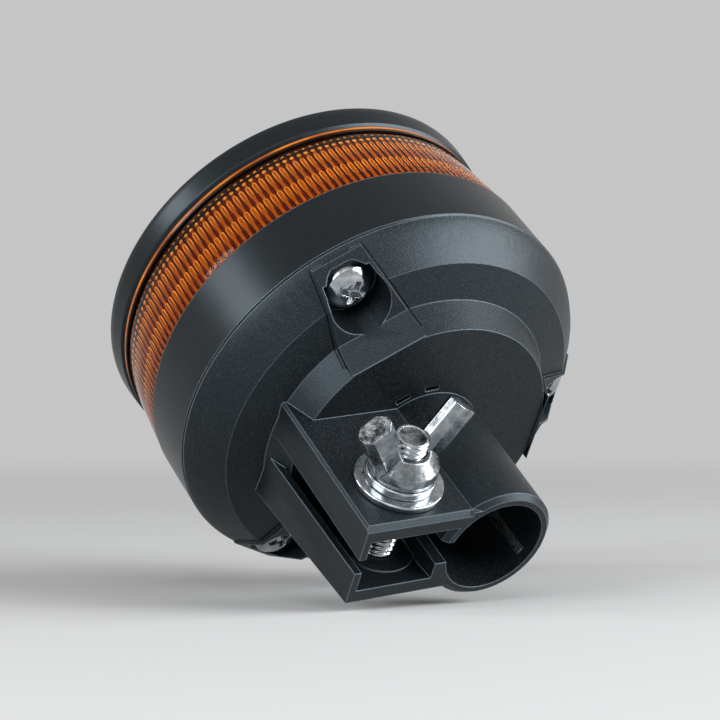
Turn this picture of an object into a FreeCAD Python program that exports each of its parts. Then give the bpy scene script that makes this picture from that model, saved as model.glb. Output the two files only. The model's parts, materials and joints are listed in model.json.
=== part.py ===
# Amber warning beacon with a split clamp socket for a 24 mm pole.
#
# The frame has its origin at the centre of the socket's open mouth. Z runs up
# the socket and the beacon's own axis, X runs from the clamp leaves to the
# closed side of the socket, and the wing nut stands on the -Y side.
# All sizes are millimetres.
import FreeCAD, Part
import math
import os
import re

import Sketcher
from FreeCAD import Placement, Rotation, Vector

SIZES = (
    # Pole socket
    ("pole_bore", 24.5, "bore of the socket, for a 24 mm pole"),
    ("socket_wall", 2.6, "wall of the socket at its mouth"),
    ("socket_growth", 0.35, "growth of the socket's radius from the mouth to the base"),
    ("socket_length", 36.4, "mouth to the flat underside of the base"),
    ("mouth_chamfer", 1.2, "chamfer round the outside of the mouth and along the near leaf"),
    ("grip_length", 40, "length of the bore's gripping wall from the mouth"),
    ("relief_gap", 0.35, "bore beyond that wall, over its radius"),
    ("bore_depth", 50, "mouth to the stop that the pole's end meets"),
    ("stop_height", 4, "thickness of the stop"),
    ("stop_hole", 18, "hole through the stop"),
    ("housing_radius", 17, "outside of the contact housing above the socket"),
    ("housing_height", 7.5, "contact housing above the underside of the stop"),
    ("carrier_bore", 27.4, "recess above the stop that takes the contact carrier"),
    # Stepped base
    ("flat_inset", 18.3, "rim to the edge of the flat underside"),
    ("step_inset", 15.1, "rim to the top edge of the first, steep cone"),
    ("step_level", 43.4, "its height above the mouth"),
    ("waist_inset", 6.8, "rim to the top edge of the shallow cone"),
    ("waist_level", 46.3, "its height above the mouth"),
    ("brow_inset", 1, "rim to the top edge of the third cone"),
    ("brow_level", 53.3, "its height above the mouth"),
    ("rim_radius", 51.9, "outside of the rim at the seam"),
    ("seam_level", 55.3, "seam between base and body ring"),
    ("rim_width", 4.7, "width of the rim's flat top"),
    ("base_wall", 2, "shift from the outer to the inner outline, inwards and up"),
    ("gasket_inset", 1.7, "rim's outside to the gasket groove"),
    ("gasket_width", 1.8, "width of the gasket groove"),
    ("gasket_depth", 1.4, "depth of the gasket groove"),
    # Clamp leaves
    ("leaf_reach", 36, "axis to the outer side of both leaves"),
    ("leaf_level", 11.9, "axis to the outer face of the nut-side leaf"),
    ("leaf_thickness", 4.2, "thickness of the nut-side leaf"),
    ("skirt_wall", 1.8, "wall of the leaves' outer skirts"),
    ("skirt_edge", 2.8, "axis plane to the edge of the nut-side skirt"),
    ("far_leaf_level", 9.9, "axis to the outer face of the head-side leaf at the mouth"),
    ("far_leaf_thickness", 3.3, "thickness of the head-side leaf"),
    ("far_leaf_flare", 4.4, "outward lean of the head-side leaf along the socket"),
    ("far_skirt_edge", 1.2, "axis plane to the edge of the head-side skirt at the mouth"),
    ("far_skirt_lean", 1.9, "how far that edge leans away along the socket"),
    ("leaf_sink", 8.1, "how far the leaves run up into the base"),
    ("split_near", 3.6, "axis plane to the split's edge on the nut side"),
    ("split_far", 2.4, "axis plane to the split's edge on the head side"),
    ("lip_reach", 14.9, "axis to the outer face of the head-side lip"),
    ("lip_inner", 12, "axis to the start of the lip inside the socket's wall"),
    ("edge_break", 0.6, "small chamfer on the leaves' edges"),
    # Clamp bolt and its stack
    ("bolt_offset", 22, "axis to the bolt"),
    ("bolt_level", 12.8, "mouth to the bolt"),
    ("bolt_size", 8, "thread diameter"),
    ("bolt_length", 35, "under the head to the end"),
    ("bolt_chamfer", 0.3, "chamfer of the bolt's end"),
    ("bolt_clearance", 0.5, "bolt hole over the thread"),
    ("head_flats", 13, "bolt head across its flats"),
    ("head_height", 5.3, "height of the bolt head"),
    ("head_play", 0.3, "head recess over the head's flats"),
    ("head_seat", 9.4, "axis plane to the seat under the head"),
    ("seat_boss", 17, "round pad that backs the head recess between the leaves"),
    ("seat_boss_level", 7, "axis plane to the face of that pad"),
    ("washer_size", 20.8, "outside of the flat washer"),
    ("washer_height", 1.6, "thickness of the flat washer"),
    ("washer_bore", 8.4, "hole in both washers"),
    ("lock_size", 16.4, "outside of the spring washer"),
    ("lock_height", 2, "thickness of the spring washer"),
    ("lock_gap", 1, "cut through the spring washer"),
    ("nut_foot", 15.2, "diameter of the wing nut's seat"),
    ("nut_belly", 15.8, "largest diameter of its barrel"),
    ("nut_neck", 10.4, "diameter at the top of its barrel"),
    ("nut_height", 6.4, "height of its barrel"),
    ("nut_belly_low", 0.2, "share of the height at which the barrel is widest"),
    ("nut_belly_high", 0.5, "share of the height at which it starts to narrow"),
    ("wing_angle", 56.6, "degrees that the wings rise from the seat plane"),
    ("wing_length", 22.8, "length of a wing's middle from the nut's axis, seat plane and all"),
    ("wing_width", 5.4, "thickness of a wing, round the nut"),
    ("wing_depth", 7.8, "breadth of a wing, in the plane of both"),
    ("wing_edge", 1.7, "chamfer along a wing's edges"),
    ("wing_root", 3.5, "depth below the seat at which the wings' middle meets the axis"),
    ("wing_foot", 1.8, "height at which the wings grow out of the barrel"),
    ("wing_yaw_angle", 10, "degrees that the wings stand turned in the photographed pose"),
    ("thread_play", 0.05, "radial gap between bolt and nut"),
    # Screw tabs
    ("tab_count", 3, "screw tabs round the base"),
    ("tab_inset", 0.3, "tab facets inside the cones' edges"),
    ("tab_proud", 0.8, "tab facets below the cones' edges"),
    ("tab_rim_inset", 0.8, "outer end of a tab inside the rim"),
    ("tab_outer_width", 12.6, "width of a tab at its outer end"),
    ("tab_inner_width", 19.3, "width of a tab at its inner end"),
    ("pocket_radius", 7.2, "round end of the screw pocket"),
    ("pocket_inset", 3.6, "rim to the straight outer end of the pocket"),
    ("pocket_end_width", 11.9, "width of the pocket there"),
    ("pocket_floor", 3.3, "floor of the pocket below the seam"),
    ("pocket_wall", 1.8, "wall of the pocket's cup inside the base"),
    ("cup_rise", 1.7, "underside of the cup above the shallow cone's top edge"),
    ("screw_inset", 8.7, "rim to the axes of the base screws"),
    ("screw_size", 4, "thread diameter of the base screws"),
    ("screw_length", 12, "length of the base screws"),
    ("screw_head", 11.8, "head diameter"),
    ("screw_crown", 3.6, "head height"),
    ("screw_play", 0.1, "radial gap round every screw's shank"),
    # Drain slots by the socket's root
    ("drain_length", 3.6, "length of a drain slot"),
    ("drain_width", 1.2, "width of a drain slot"),
    ("drain_radius", 16.8, "axis to a drain slot"),
    ("drain_angle", 94.5, "degrees from X to the first slot"),
    ("drain_step_angle", 26, "degrees from the first slot to the second"),
    # Body ring
    ("ring_lip", 0.2, "body ring beyond the rim at the seam"),
    ("ring_taper", 0.1, "loss of its radius up to the lens"),
    ("ring_top", 72.6, "joint between body ring and lens"),
    ("ring_wall", 2.9, "wall of the body ring"),
    ("ring_chamfer", 0.5, "chamfer along the seam"),
    ("shelf_level", 66.5, "underside of the shelf in the body ring"),
    ("shelf_height", 2.5, "thickness of the shelf"),
    ("shelf_hole", 40, "hole in the shelf"),
    ("boss_radius", 5, "bosses that take the base screws"),
    ("web_width", 3.4, "thickness of the webs from the bosses to the wall"),
    ("boss_hole_depth", 9.5, "depth of their holes"),
    ("seal_inset", 0.8, "ring's outside to the lens seal"),
    ("seal_width", 1.2, "width of the lens seal"),
    ("seal_depth", 1, "depth of the lens seal's groove"),
    # Lens
    ("lens_step", 0.1, "outside of the lens inside the body ring's"),
    ("lens_taper", 1.8, "loss of the lens's radius up to the top of its band"),
    ("lens_top", 91.4, "top of the ribbed band"),
    ("neck_step", 1.2, "depth of the neck between the band and the flange"),
    ("flange_level", 93, "underside of the lens flange"),
    ("flange_reach", 1.3, "flange beyond the neck"),
    ("flange_top", 94.4, "top of the lens flange"),
    ("mouth_wall", 3.3, "neck to the hole in the top of the lens"),
    ("lens_lip", 2.4, "height of the narrower top of the lens"),
    ("flute_count", 165, "flutes round the inside of the lens"),
    ("neck_wall", 2, "wall of the neck down to the crests between the flutes"),
    ("flute_depth", 0.7, "crests to the bottom of the flutes"),
    ("flute_margin", 1.6, "plain band below the flutes"),
    ("flute_top_margin", 0.8, "plain band above the flutes"),
    # Cap
    ("cap_seat_inset", 0.6, "flange to the outside of the cap where it meets the lens"),
    ("cap_bevel", 1.1, "growth of the cap over its bevel"),
    ("cap_edge_level", 95.3, "top of the bevel"),
    ("cap_swell", 0.35, "growth of the cap from its bevel to its widest"),
    ("cap_side_level", 99.4, "height of that radius"),
    ("cap_shoulder_level", 101.8, "top of the cap's side before rounding"),
    ("cap_crown", 102.4, "top of the cap at its middle"),
    ("cap_round", 2.2, "rounding of the shoulder"),
    ("cap_wall", 2.4, "wall of the cap"),
    ("collar_play", 0.2, "gap between the cap's collar and the lens"),
    ("collar_wall", 2.2, "wall of the collar"),
    ("cap_seal_inset", 1.2, "collar to the cap seal"),
    ("cap_seal_width", 1.6, "width of the cap seal"),
    ("cap_seal_depth", 1, "depth of its groove"),
    # Contacts
    ("hub_radius", 8.8, "hub of the contact carrier"),
    ("hub_drop", 3, "hub below the stop"),
    ("disc_radius", 13.5, "disc of the contact carrier"),
    ("disc_height", 2.5, "thickness of that disc"),
    ("lip_height", 1.2, "lip that holds the plunger in"),
    ("plunger_radius", 3, "tip of the plunger"),
    ("plunger_reach", 3.5, "tip below the hub"),
    ("plunger_flange", 4.9, "flange of the plunger"),
    ("flange_height", 1.2, "thickness of that flange"),
    ("pin_radius", 2, "pin that guides the spring"),
    ("pin_height", 2.3, "height of that pin"),
    ("tip_chamfer", 1.4, "chamfer of the plunger's tip"),
    ("running_fit", 0.08, "radial gap of the plunger in the carrier"),
    ("terminal_radius", 6, "disc of the spring's terminal"),
    ("terminal_height", 1, "thickness of that disc"),
    ("post_radius", 1.2, "solder post on the terminal"),
    ("post_top", 60, "top of the solder post"),
    ("spring_radius", 3.4, "middle of the spring's wire to its axis"),
    ("spring_wire", 0.6, "thickness of the spring's wire over its corners"),
    ("spring_flats", 8, "flat sides that stand for the round wire"),
    ("spring_turns", 4, "turns of the spring"),
    ("strip_radius", 12.45, "axis to the earth strip's inner face"),
    ("strip_thickness", 0.5, "thickness of the earth strip"),
    ("strip_width", 1.6, "width of the earth strip"),
    ("strip_foot", 3, "mouth to the lower end of the earth strip"),
    ("strip_angle", 29, "degrees from X to the earth strip"),
    ("strip_play", 0.2, "gap between the strip and its groove"),
    ("carrier_screw_radius", 11.1, "axis to the carrier screws"),
    ("carrier_pilot_share", 0.8, "depth of its hole as a share of the stop"),
    ("carrier_screw_size", 2.2, "thread diameter of the carrier screws"),
    ("carrier_screw_head", 4, "their head diameter"),
    ("carrier_screw_crown", 1.4, "their head height"),
    ("carrier_screw_length", 5, "their length"),
    # Driver board and its parts
    ("board_level", 62, "underside of the driver board"),
    ("board_height", 1.6, "thickness of both circuit boards"),
    ("board_inset", 14.4, "rim to the outside of the driver board"),
    ("board_post_inset", 21.9, "rim to the axes of the board's posts"),
    ("board_post_radius", 3.5, "posts that carry the driver board"),
    ("board_screw_size", 2.5, "thread diameter of the board screws"),
    ("board_screw_head", 5, "their head diameter"),
    ("board_screw_crown", 1.8, "their head height"),
    ("board_screw_length", 8, "their length"),
    ("block_inset", 33.4, "rim to the near side of the inlet terminal"),
    ("block_length", 7.5, "length of the inlet terminal"),
    ("block_width", 10, "width of the inlet terminal"),
    ("block_height", 8, "height of the inlet terminal"),
    ("lead_level", 59, "height of the two leads"),
    ("lead_size", 1.6, "diameter of the leads"),
    ("lead_pitch", 5, "distance between the two ways of the inlet terminal"),
    ("capacitor_size", 8, "diameter of the storage capacitors"),
    ("capacitor_height", 10.5, "their height"),
    ("capacitor_inset", 24.9, "rim to the axes of the storage capacitors"),
    ("inductor_size", 12, "side of the power inductor"),
    ("inductor_height", 7, "its height"),
    ("chip_length", 6, "length of the driver chips"),
    ("chip_width", 5, "their width"),
    ("chip_height", 1.5, "their height"),
    ("diode_length", 4.6, "length of the reverse-polarity diode"),
    ("diode_width", 2.7, "its width"),
    ("diode_height", 2.2, "its height"),
    ("header_length", 12, "length of the header between the boards"),
    ("header_width", 5, "its width"),
    # Light module
    ("sink_gap", 2.9, "heat sink to the inside of the body ring"),
    ("sink_height", 2.5, "thickness of the heat sink"),
    ("module_hole", 16, "hole in the heat sink and the pad for the header"),
    ("pad_height", 0.5, "thickness of the thermal pad"),
    ("light_board_gap", 0.8, "LED board inside the heat sink's edge"),
    ("module_screw_inset", 21.9, "rim to the axes of the module screws"),
    ("module_screw_size", 3, "thread diameter of the module screws"),
    ("module_screw_head", 5.6, "their head diameter"),
    ("module_screw_crown", 1.8, "their head height"),
    ("module_screw_length", 6.8, "their length"),
    ("led_count", 12, "light sources round the board"),
    ("led_inset", 11.9, "rim to the light sources"),
    ("led_angle", 15, "degrees from X to the first light source"),
    ("led_side", 3.6, "side of a light source's package"),
    ("led_height", 0.8, "height of the package"),
    ("led_dome", 1.5, "radius of its dome"),
    ("optic_gap", 0.7, "optic ring to the crests of the lens"),
    ("optic_foot", 1.7, "width of the optic ring's foot"),
    ("optic_clear", 2.6, "underside of the prism above the LED board"),
    ("optic_reach", 10, "width of the prism"),
    ("optic_height", 13.2, "height of the optic ring"),
    ("optic_top", 1.7, "width of the optic ring's top"),
)

doc = FreeCAD.newDocument("Beacon")
sheet = doc.addObject("Spreadsheet::Sheet", "Sizes")
for row, (alias, size, meaning) in enumerate(SIZES, start=1):
    sheet.set(f"A{row}", meaning)
    sheet.set(f"B{row}", str(size))
    sheet.setAlias(f"B{row}", alias)
doc.recompute()

# Heights and radii that follow from the driving sizes.
SOCKET_RADIUS = "(pole_bore / 2 + socket_wall)"
STOP_TOP = "(bore_depth + stop_height)"
HOUSING_TOP = "(bore_depth + housing_height)"
HUB_FOOT = "(bore_depth - hub_drop)"
DISC_TOP = f"({STOP_TOP} + disc_height)"
PLUNGER_SEAT = f"({HUB_FOOT} + lip_height)"
SPRING_FOOT = f"({PLUNGER_SEAT} + flange_height)"
SPRING_TOP = f"({DISC_TOP} - lip_height)"
LEAF_TOP = "(socket_length + leaf_sink)"
POCKET_LEVEL = "(seam_level - pocket_floor)"
BOARD_TOP = "(board_level + board_height)"
SINK_LEVEL = "(shelf_level + shelf_height)"
PAD_LEVEL = f"({SINK_LEVEL} + sink_height)"
LIGHT_LEVEL = f"({PAD_LEVEL} + pad_height)"
LIGHT_TOP = f"({LIGHT_LEVEL} + board_height)"
OPTIC_TOP = f"({LIGHT_TOP} + optic_height)"
COLLAR_RADIUS = "(lens_mouth - collar_play)"
NUT_SEAT = "(leaf_level + washer_height + lock_height)"
STRIP_OUTER = "(strip_radius + strip_thickness)"

# Shares of a pan head's height: its straight rim, and the bulge of its crown.
HEAD_RIM_SHARE = 0.35
HEAD_BULGE_SHARE = 0.18

# Degrees round the axis at which the parts of the driver board stand.
CAPACITOR_ANGLES = (100, 140)
CHIP_ANGLES = (-70, -30, 10)
INDUCTOR_ANGLE = -30
DIODE_ANGLE = 90

NOT_A_SIZE = {"sin", "cos", "tan", "sqrt"}

# Radii that follow from the rim, so that the whole beacon grows with it.
FOLLOWING = {
    "flat_radius": "rim_radius - flat_inset",
    "step_radius": "rim_radius - step_inset",
    "waist_radius": "rim_radius - waist_inset",
    "brow_radius": "rim_radius - brow_inset",
    "pocket_end": "rim_radius - pocket_inset",
    "screw_radius": "rim_radius - screw_inset",
    "ring_radius": "rim_radius + ring_lip",
    "lens_foot": "ring_radius - ring_taper - lens_step",
    "lens_shoulder": "lens_foot - lens_taper",
    "neck_radius": "lens_shoulder - neck_step",
    "flange_radius": "neck_radius + flange_reach",
    "lens_mouth": "neck_radius - mouth_wall",
    "flute_crest": "neck_radius - neck_wall",
    "flute_valley": "flute_crest + flute_depth",
    "cap_seat": "flange_radius - cap_seat_inset",
    "cap_edge": "cap_seat + cap_bevel",
    "cap_radius": "cap_edge + cap_swell",
    "board_radius": "rim_radius - board_inset",
    "board_post_circle": "rim_radius - board_post_inset",
    "block_near": "rim_radius - block_inset",
    "capacitor_radius": "rim_radius - capacitor_inset",
    "sink_radius": "ring_radius - ring_wall - sink_gap",
    "light_board_radius": "sink_radius - light_board_gap",
    "module_screw_circle": "rim_radius - module_screw_inset",
    "led_circle": "rim_radius - led_inset",
    "optic_radius": "flute_crest - optic_gap",
}


def bound(text):
    """Expression in which each size name points at its cell."""
    def cell(match):
        word = match.group()
        if word in FOLLOWING:
            return f"({bound(FOLLOWING[word])})"
        return word if word in NOT_A_SIZE else "Sizes." + word
    return re.sub(r"[a-z][a-z_]*", cell, str(text))


def value(text):
    """Number that an expression gives."""
    return float(sheet.evalExpression(bound(text)))


def bind(thing, prop, text):
    """Bind a property to an expression on the sizes."""
    thing.setExpression(prop, bound(text))


def new_body(label):
    """Empty body of one sub-part."""
    body = doc.addObject("PartDesign::Body", label)
    body.Label = label
    return body


def sketch_on(body, plane, name, offset="0"):
    """Sketch on one of the body's own planes, moved along its normal."""
    sketch = body.newObject("Sketcher::SketchObject", name)
    base = next(item for item in body.Origin.OriginFeatures if item.Role == plane)
    sketch.AttachmentSupport = [(base, "")]
    sketch.MapMode = "FlatFace"
    bind(sketch, "AttachmentOffset.Base.z", offset)
    return sketch


def outline(sketch, corners):
    """Closed outline whose corners keep two bound distances from the origin."""
    points = [Vector(value(along), value(up), 0) for along, up in corners]
    first = sketch.GeometryCount
    ends = points[1:] + points[:1]
    sketch.addGeometry([Part.LineSegment(a, b) for a, b in zip(points, ends)], False)
    for step, corner in enumerate(corners):
        before = first + (step - 1) % len(corners)
        sketch.addConstraint(Sketcher.Constraint("Coincident", before, 2, first + step, 1))
        for kind, text in zip(("DistanceX", "DistanceY"), corner):
            rule = Sketcher.Constraint(kind, -1, 1, first + step, 1, value(text))
            place = sketch.addConstraint(rule)
            bind(sketch, f"Constraints[{place}]", text)


def circle(sketch, along, up, radius):
    """Circle with a bound centre and radius."""
    centre = Vector(value(along), value(up), 0)
    ring = Part.Circle(centre, Vector(0, 0, 1), value(radius))
    index = sketch.addGeometry(ring, False)
    for kind, text in (("DistanceX", along), ("DistanceY", up)):
        place = sketch.addConstraint(Sketcher.Constraint(kind, -1, 1, index, 3, value(text)))
        bind(sketch, f"Constraints[{place}]", text)
    place = sketch.addConstraint(Sketcher.Constraint("Radius", index, value(radius)))
    bind(sketch, f"Constraints[{place}]", radius)


def rectangle(sketch, left, right, low, high):
    """Rectangle between bound sides."""
    outline(sketch, ((left, low), (right, low), (right, high), (left, high)))


def feature(body, kind, sketch, name):
    """Feature of the body that reads the sketch."""
    made = body.newObject(kind, name)
    made.Profile = sketch
    sketch.Visibility = False
    return made


def turn(body, corners, name="Turned", kind="PartDesign::Revolution"):
    """Full turn of a radius and height outline about Z."""
    sketch = sketch_on(body, "XZ_Plane", name + "Outline")
    outline(sketch, corners)
    made = feature(body, kind, sketch, name)
    made.ReferenceAxis = (sketch, ["V_Axis"])
    made.Angle = 360
    doc.recompute()
    return made


def pad(body, sketch, name, length, reversed_way=False, both_ways=False):
    """Pad with a bound length."""
    made = feature(body, "PartDesign::Pad", sketch, name)
    bind(made, "Length", length)
    made.Reversed = reversed_way
    made.Midplane = both_ways
    doc.recompute()
    return made


def cut(body, sketch, name, length, reversed_way=False, both_ways=False):
    """Pocket with a bound depth, which has to take material away."""
    before = body.Shape.Volume
    made = feature(body, "PartDesign::Pocket", sketch, name)
    bind(made, "Length", length)
    made.Reversed = reversed_way
    made.Midplane = both_ways
    doc.recompute()
    if body.Shape.Volume > before - 0.01:
        raise RuntimeError(f"{name} cuts nothing out of {body.Label}")
    return made


def repeat(body, originals, count, name):
    """The features again at equal turns about Z."""
    made = body.newObject("PartDesign::PolarPattern", name)
    made.Originals = originals
    base = next(item for item in body.Origin.OriginFeatures if item.Role == "Z_Axis")
    made.Axis = (base, [""])
    made.Angle = 360
    bind(made, "Occurrences", count)
    body.Tip = made
    doc.recompute()
    return made


def turned_part(label, corners):
    """Sub-part that is one turned outline."""
    body = new_body(label)
    turn(body, corners)
    return body


def join(label, pieces):
    """Fusion of several shapes."""
    made = doc.addObject("Part::MultiFuse", label)
    made.Shapes = pieces
    made.Refine = True
    doc.recompute()
    return made


def take_away(label, base, tool):
    """The base without the tool."""
    made = doc.addObject("Part::Cut", label)
    made.Base = base
    made.Tool = tool
    doc.recompute()
    if made.Shape.Volume > base.Shape.Volume - 0.01:
        raise RuntimeError(f"{label} lost nothing to {tool.Label}")
    return made


def box(label, length, width, height, place, degrees=0.0):
    """Box standing centred on a place, turned about Z through the origin."""
    made = doc.addObject("Part::Box", label)
    for prop, text in (("Length", length), ("Width", width), ("Height", height)):
        bind(made, prop, text)
    along, across, up = place
    corner = Vector(value(f"{along} - ({length}) / 2"), value(f"{across} - ({width}) / 2"), value(up))
    spin = Rotation(Vector(0, 0, 1), degrees)
    made.Placement = Placement(spin.multVec(corner), spin)
    return made


def rod(label, radius, height, place):
    """Upright cylinder on a place."""
    made = doc.addObject("Part::Cylinder", label)
    bind(made, "Radius", radius)
    bind(made, "Height", height)
    for axis, text in zip("xyz", place):
        bind(made, f"Placement.Base.{axis}", text)
    return made


def round_places(count, radius, start=0.0):
    """Pairs of x and y at equal turns about Z, in numbers."""
    places = []
    for step in range(count):
        angle = math.radians(start + 360 * step / count)
        places.append((radius * math.cos(angle), radius * math.sin(angle)))
    return places


def tab_places(radius, start=0.0):
    """Pairs of x and y for one thing at each tab, at a named radius."""
    return round_places(round(value("tab_count")), value(radius), start)


def pan_screws(label, sizes, places, seat, points_up):
    """Identical pan-head screws as one group of solids on parallel axes."""
    shank, length, head, crown = (value(text) for text in sizes)
    way = 1 if points_up else -1
    top = Vector(0, 0, -way * crown)
    outline_points = [
        Vector(head / 2, 0, -way * crown * HEAD_RIM_SHARE),
        Vector(head / 2, 0, 0),
        Vector(shank / 2, 0, 0),
        Vector(shank / 2, 0, way * (length - shank / 2)),
        Vector(shank / 4, 0, way * length),
        Vector(0, 0, way * length),
    ]
    rim = outline_points[0]
    between = (top + rim) / 2 + Vector(0, 0, -way * crown * HEAD_BULGE_SHARE)
    edges = [Part.Arc(top, between, rim).toShape()]
    for start, end in zip(outline_points, outline_points[1:] + [top]):
        edges.append(Part.makeLine(start, end))
    profile = Part.Face(Part.Wire(edges))
    screw = profile.revolve(Vector(0, 0, 0), Vector(0, 0, 1), 360)
    group = doc.addObject("Part::Feature", label)
    group.Shape = Part.makeCompound([
        screw.translated(Vector(x, y, value(seat))) for x, y in places])
    return group


def make_base():
    """Stepped base, pole socket and clamp leaves in one moulding."""
    shell = new_body("base_shell")
    turn(shell, (
        ("pole_bore / 2", "0"),
        (f"{SOCKET_RADIUS} - mouth_chamfer", "0"),
        (SOCKET_RADIUS, "mouth_chamfer"),
        (f"{SOCKET_RADIUS} + socket_growth", "socket_length"),
        ("flat_radius", "socket_length"),
        ("step_radius", "step_level"),
        ("waist_radius", "waist_level"),
        ("brow_radius", "brow_level"),
        ("rim_radius", "seam_level"),
        ("rim_radius - gasket_inset", "seam_level"),
        ("rim_radius - gasket_inset", "seam_level - gasket_depth"),
        ("rim_radius - gasket_inset - gasket_width", "seam_level - gasket_depth"),
        ("rim_radius - gasket_inset - gasket_width", "seam_level"),
        ("housing_radius", "seam_level"),
        ("housing_radius", HOUSING_TOP),
        ("carrier_bore / 2", HOUSING_TOP),
        ("carrier_bore / 2", STOP_TOP),
        ("stop_hole / 2", STOP_TOP),
        ("stop_hole / 2", "bore_depth"),
        ("pole_bore / 2", "bore_depth"),
    ), "Dome")

    near_leaf = sketch_on(shell, "XY_Plane", "NearLeafOutline")
    outline(near_leaf, (
        ("-leaf_reach + edge_break", "-leaf_level"),
        ("0", "-leaf_level"),
        ("0", "-leaf_level + leaf_thickness"),
        ("-leaf_reach + skirt_wall", "-leaf_level + leaf_thickness"),
        ("-leaf_reach + skirt_wall", "-skirt_edge"),
        ("-leaf_reach", "-skirt_edge"),
        ("-leaf_reach", "-leaf_level + edge_break"),
    ))
    pad(shell, near_leaf, "NearLeaf", LEAF_TOP)

    bevel = sketch_on(shell, "YZ_Plane", "NearLeafBevelOutline", "-leaf_reach")
    outline(bevel, (
        ("-leaf_level - mouth_chamfer", "-mouth_chamfer"),
        ("-leaf_level + 2 * mouth_chamfer", "-mouth_chamfer"),
        ("-leaf_level - mouth_chamfer", "2 * mouth_chamfer"),
    ))
    bevel_length = f"leaf_reach - sqrt({SOCKET_RADIUS}^2 - leaf_level^2)"
    cut(shell, bevel, "NearLeafBevel", bevel_length, reversed_way=True)

    rise = f"{LEAF_TOP} / socket_length"
    far_skirt = sketch_on(shell, "YZ_Plane", "FarSkirtOutline", "-leaf_reach")
    outline(far_skirt, (
        ("far_skirt_edge", "0"),
        ("far_leaf_level", "0"),
        (f"far_leaf_level + far_leaf_flare * {rise}", LEAF_TOP),
        (f"far_skirt_edge + far_skirt_lean * {rise}", LEAF_TOP),
    ))
    pad(shell, far_skirt, "FarSkirt", "skirt_wall")

    far_leaf = sketch_on(shell, "YZ_Plane", "FarLeafOutline", "-leaf_reach")
    outline(far_leaf, (
        ("far_leaf_level - far_leaf_thickness", "0"),
        ("far_leaf_level", "0"),
        (f"far_leaf_level + far_leaf_flare * {rise}", LEAF_TOP),
        (f"far_leaf_level - far_leaf_thickness + far_leaf_flare * {rise}", LEAF_TOP),
    ))
    pad(shell, far_leaf, "FarLeaf", "leaf_reach")

    lip = sketch_on(shell, "YZ_Plane", "FarLipOutline", "-lip_reach")
    outline(lip, (
        ("split_far", "0"),
        ("far_leaf_level - far_leaf_thickness / 2", "0"),
        ("far_leaf_level - far_leaf_thickness / 2 + far_leaf_flare", "socket_length"),
        ("split_far", "socket_length"),
    ))
    pad(shell, lip, "FarLip", "lip_reach - lip_inner")

    seat = sketch_on(shell, "XZ_Plane", "SeatBossOutline", "-seat_boss_level")
    circle(seat, "-bolt_offset", "bolt_level", "seat_boss / 2")
    pad(shell, seat, "SeatBoss", "head_seat - seat_boss_level", reversed_way=True)

    inside = (
        ("housing_radius", "socket_length + base_wall"),
        ("flat_radius - base_wall", "socket_length + base_wall"),
        ("step_radius - base_wall", "step_level + base_wall"),
        ("waist_radius - base_wall", "waist_level + base_wall"),
        ("rim_radius - rim_width", "seam_level"),
        ("housing_radius", "seam_level"),
    )
    turn(shell, inside, "Inside", "PartDesign::Groove")

    bore = sketch_on(shell, "XY_Plane", "BoreOutline")
    circle(bore, "0", "0", "pole_bore / 2")
    cut(shell, bore, "Bore", "bore_depth", reversed_way=True)

    relief = sketch_on(shell, "XY_Plane", "ReliefOutline", "grip_length")
    circle(relief, "0", "0", "pole_bore / 2 + relief_gap")
    cut(shell, relief, "Relief", "bore_depth - grip_length", reversed_way=True)

    split = sketch_on(shell, "XY_Plane", "SplitOutline")
    rectangle(split, "-lip_reach - edge_break", "-pole_bore / 4", "-split_near", "split_far")
    cut(shell, split, "Split", "socket_length", reversed_way=True)

    through = sketch_on(shell, "XZ_Plane", "BoltHoleOutline")
    circle(through, "-bolt_offset", "bolt_level", "(bolt_size + bolt_clearance) / 2")
    cut(shell, through, "BoltHole", "leaf_reach * 2", both_ways=True)

    recess = sketch_on(shell, "XZ_Plane", "HeadRecessOutline", "-head_seat")
    half = "(head_flats + head_play) / 2"
    corner = f"({half}) / sqrt(3)"
    outline(recess, (
        (f"-bolt_offset - {half}", f"bolt_level - {corner}"),
        ("-bolt_offset", f"bolt_level - 2 * {corner}"),
        (f"-bolt_offset + {half}", f"bolt_level - {corner}"),
        (f"-bolt_offset + {half}", f"bolt_level + {corner}"),
        ("-bolt_offset", f"bolt_level + 2 * {corner}"),
        (f"-bolt_offset - {half}", f"bolt_level + {corner}"),
    ))
    cut(shell, recess, "HeadRecess", "head_height * 2")

    tabs = make_tabs()
    cups = new_body("pocket_cups")
    plan = sketch_on(cups, "XY_Plane", "CupOutline", "waist_level + cup_rise")
    half_cup = "(pocket_radius + pocket_wall)"
    rectangle(plan, f"screw_radius - {half_cup}", "waist_radius", f"-{half_cup}", half_cup)
    cup = pad(cups, plan, "Cup", "seam_level - waist_level - cup_rise")
    repeat(cups, [cup], "tab_count", "Cups")

    posts = new_body("board_posts")
    foot = sketch_on(posts, "XY_Plane", "PostOutline", "socket_length + base_wall / 2")
    circle(foot, "-board_post_circle", "0", "board_post_radius")
    post = pad(posts, foot, "Post", "board_level - socket_length - base_wall / 2")
    repeat(posts, [post], "tab_count", "Posts")

    solid = join("base_blank", [shell, tabs, cups, posts])
    return take_away("mount_base", solid, join("base_cuts", make_base_cuts()))


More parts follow.
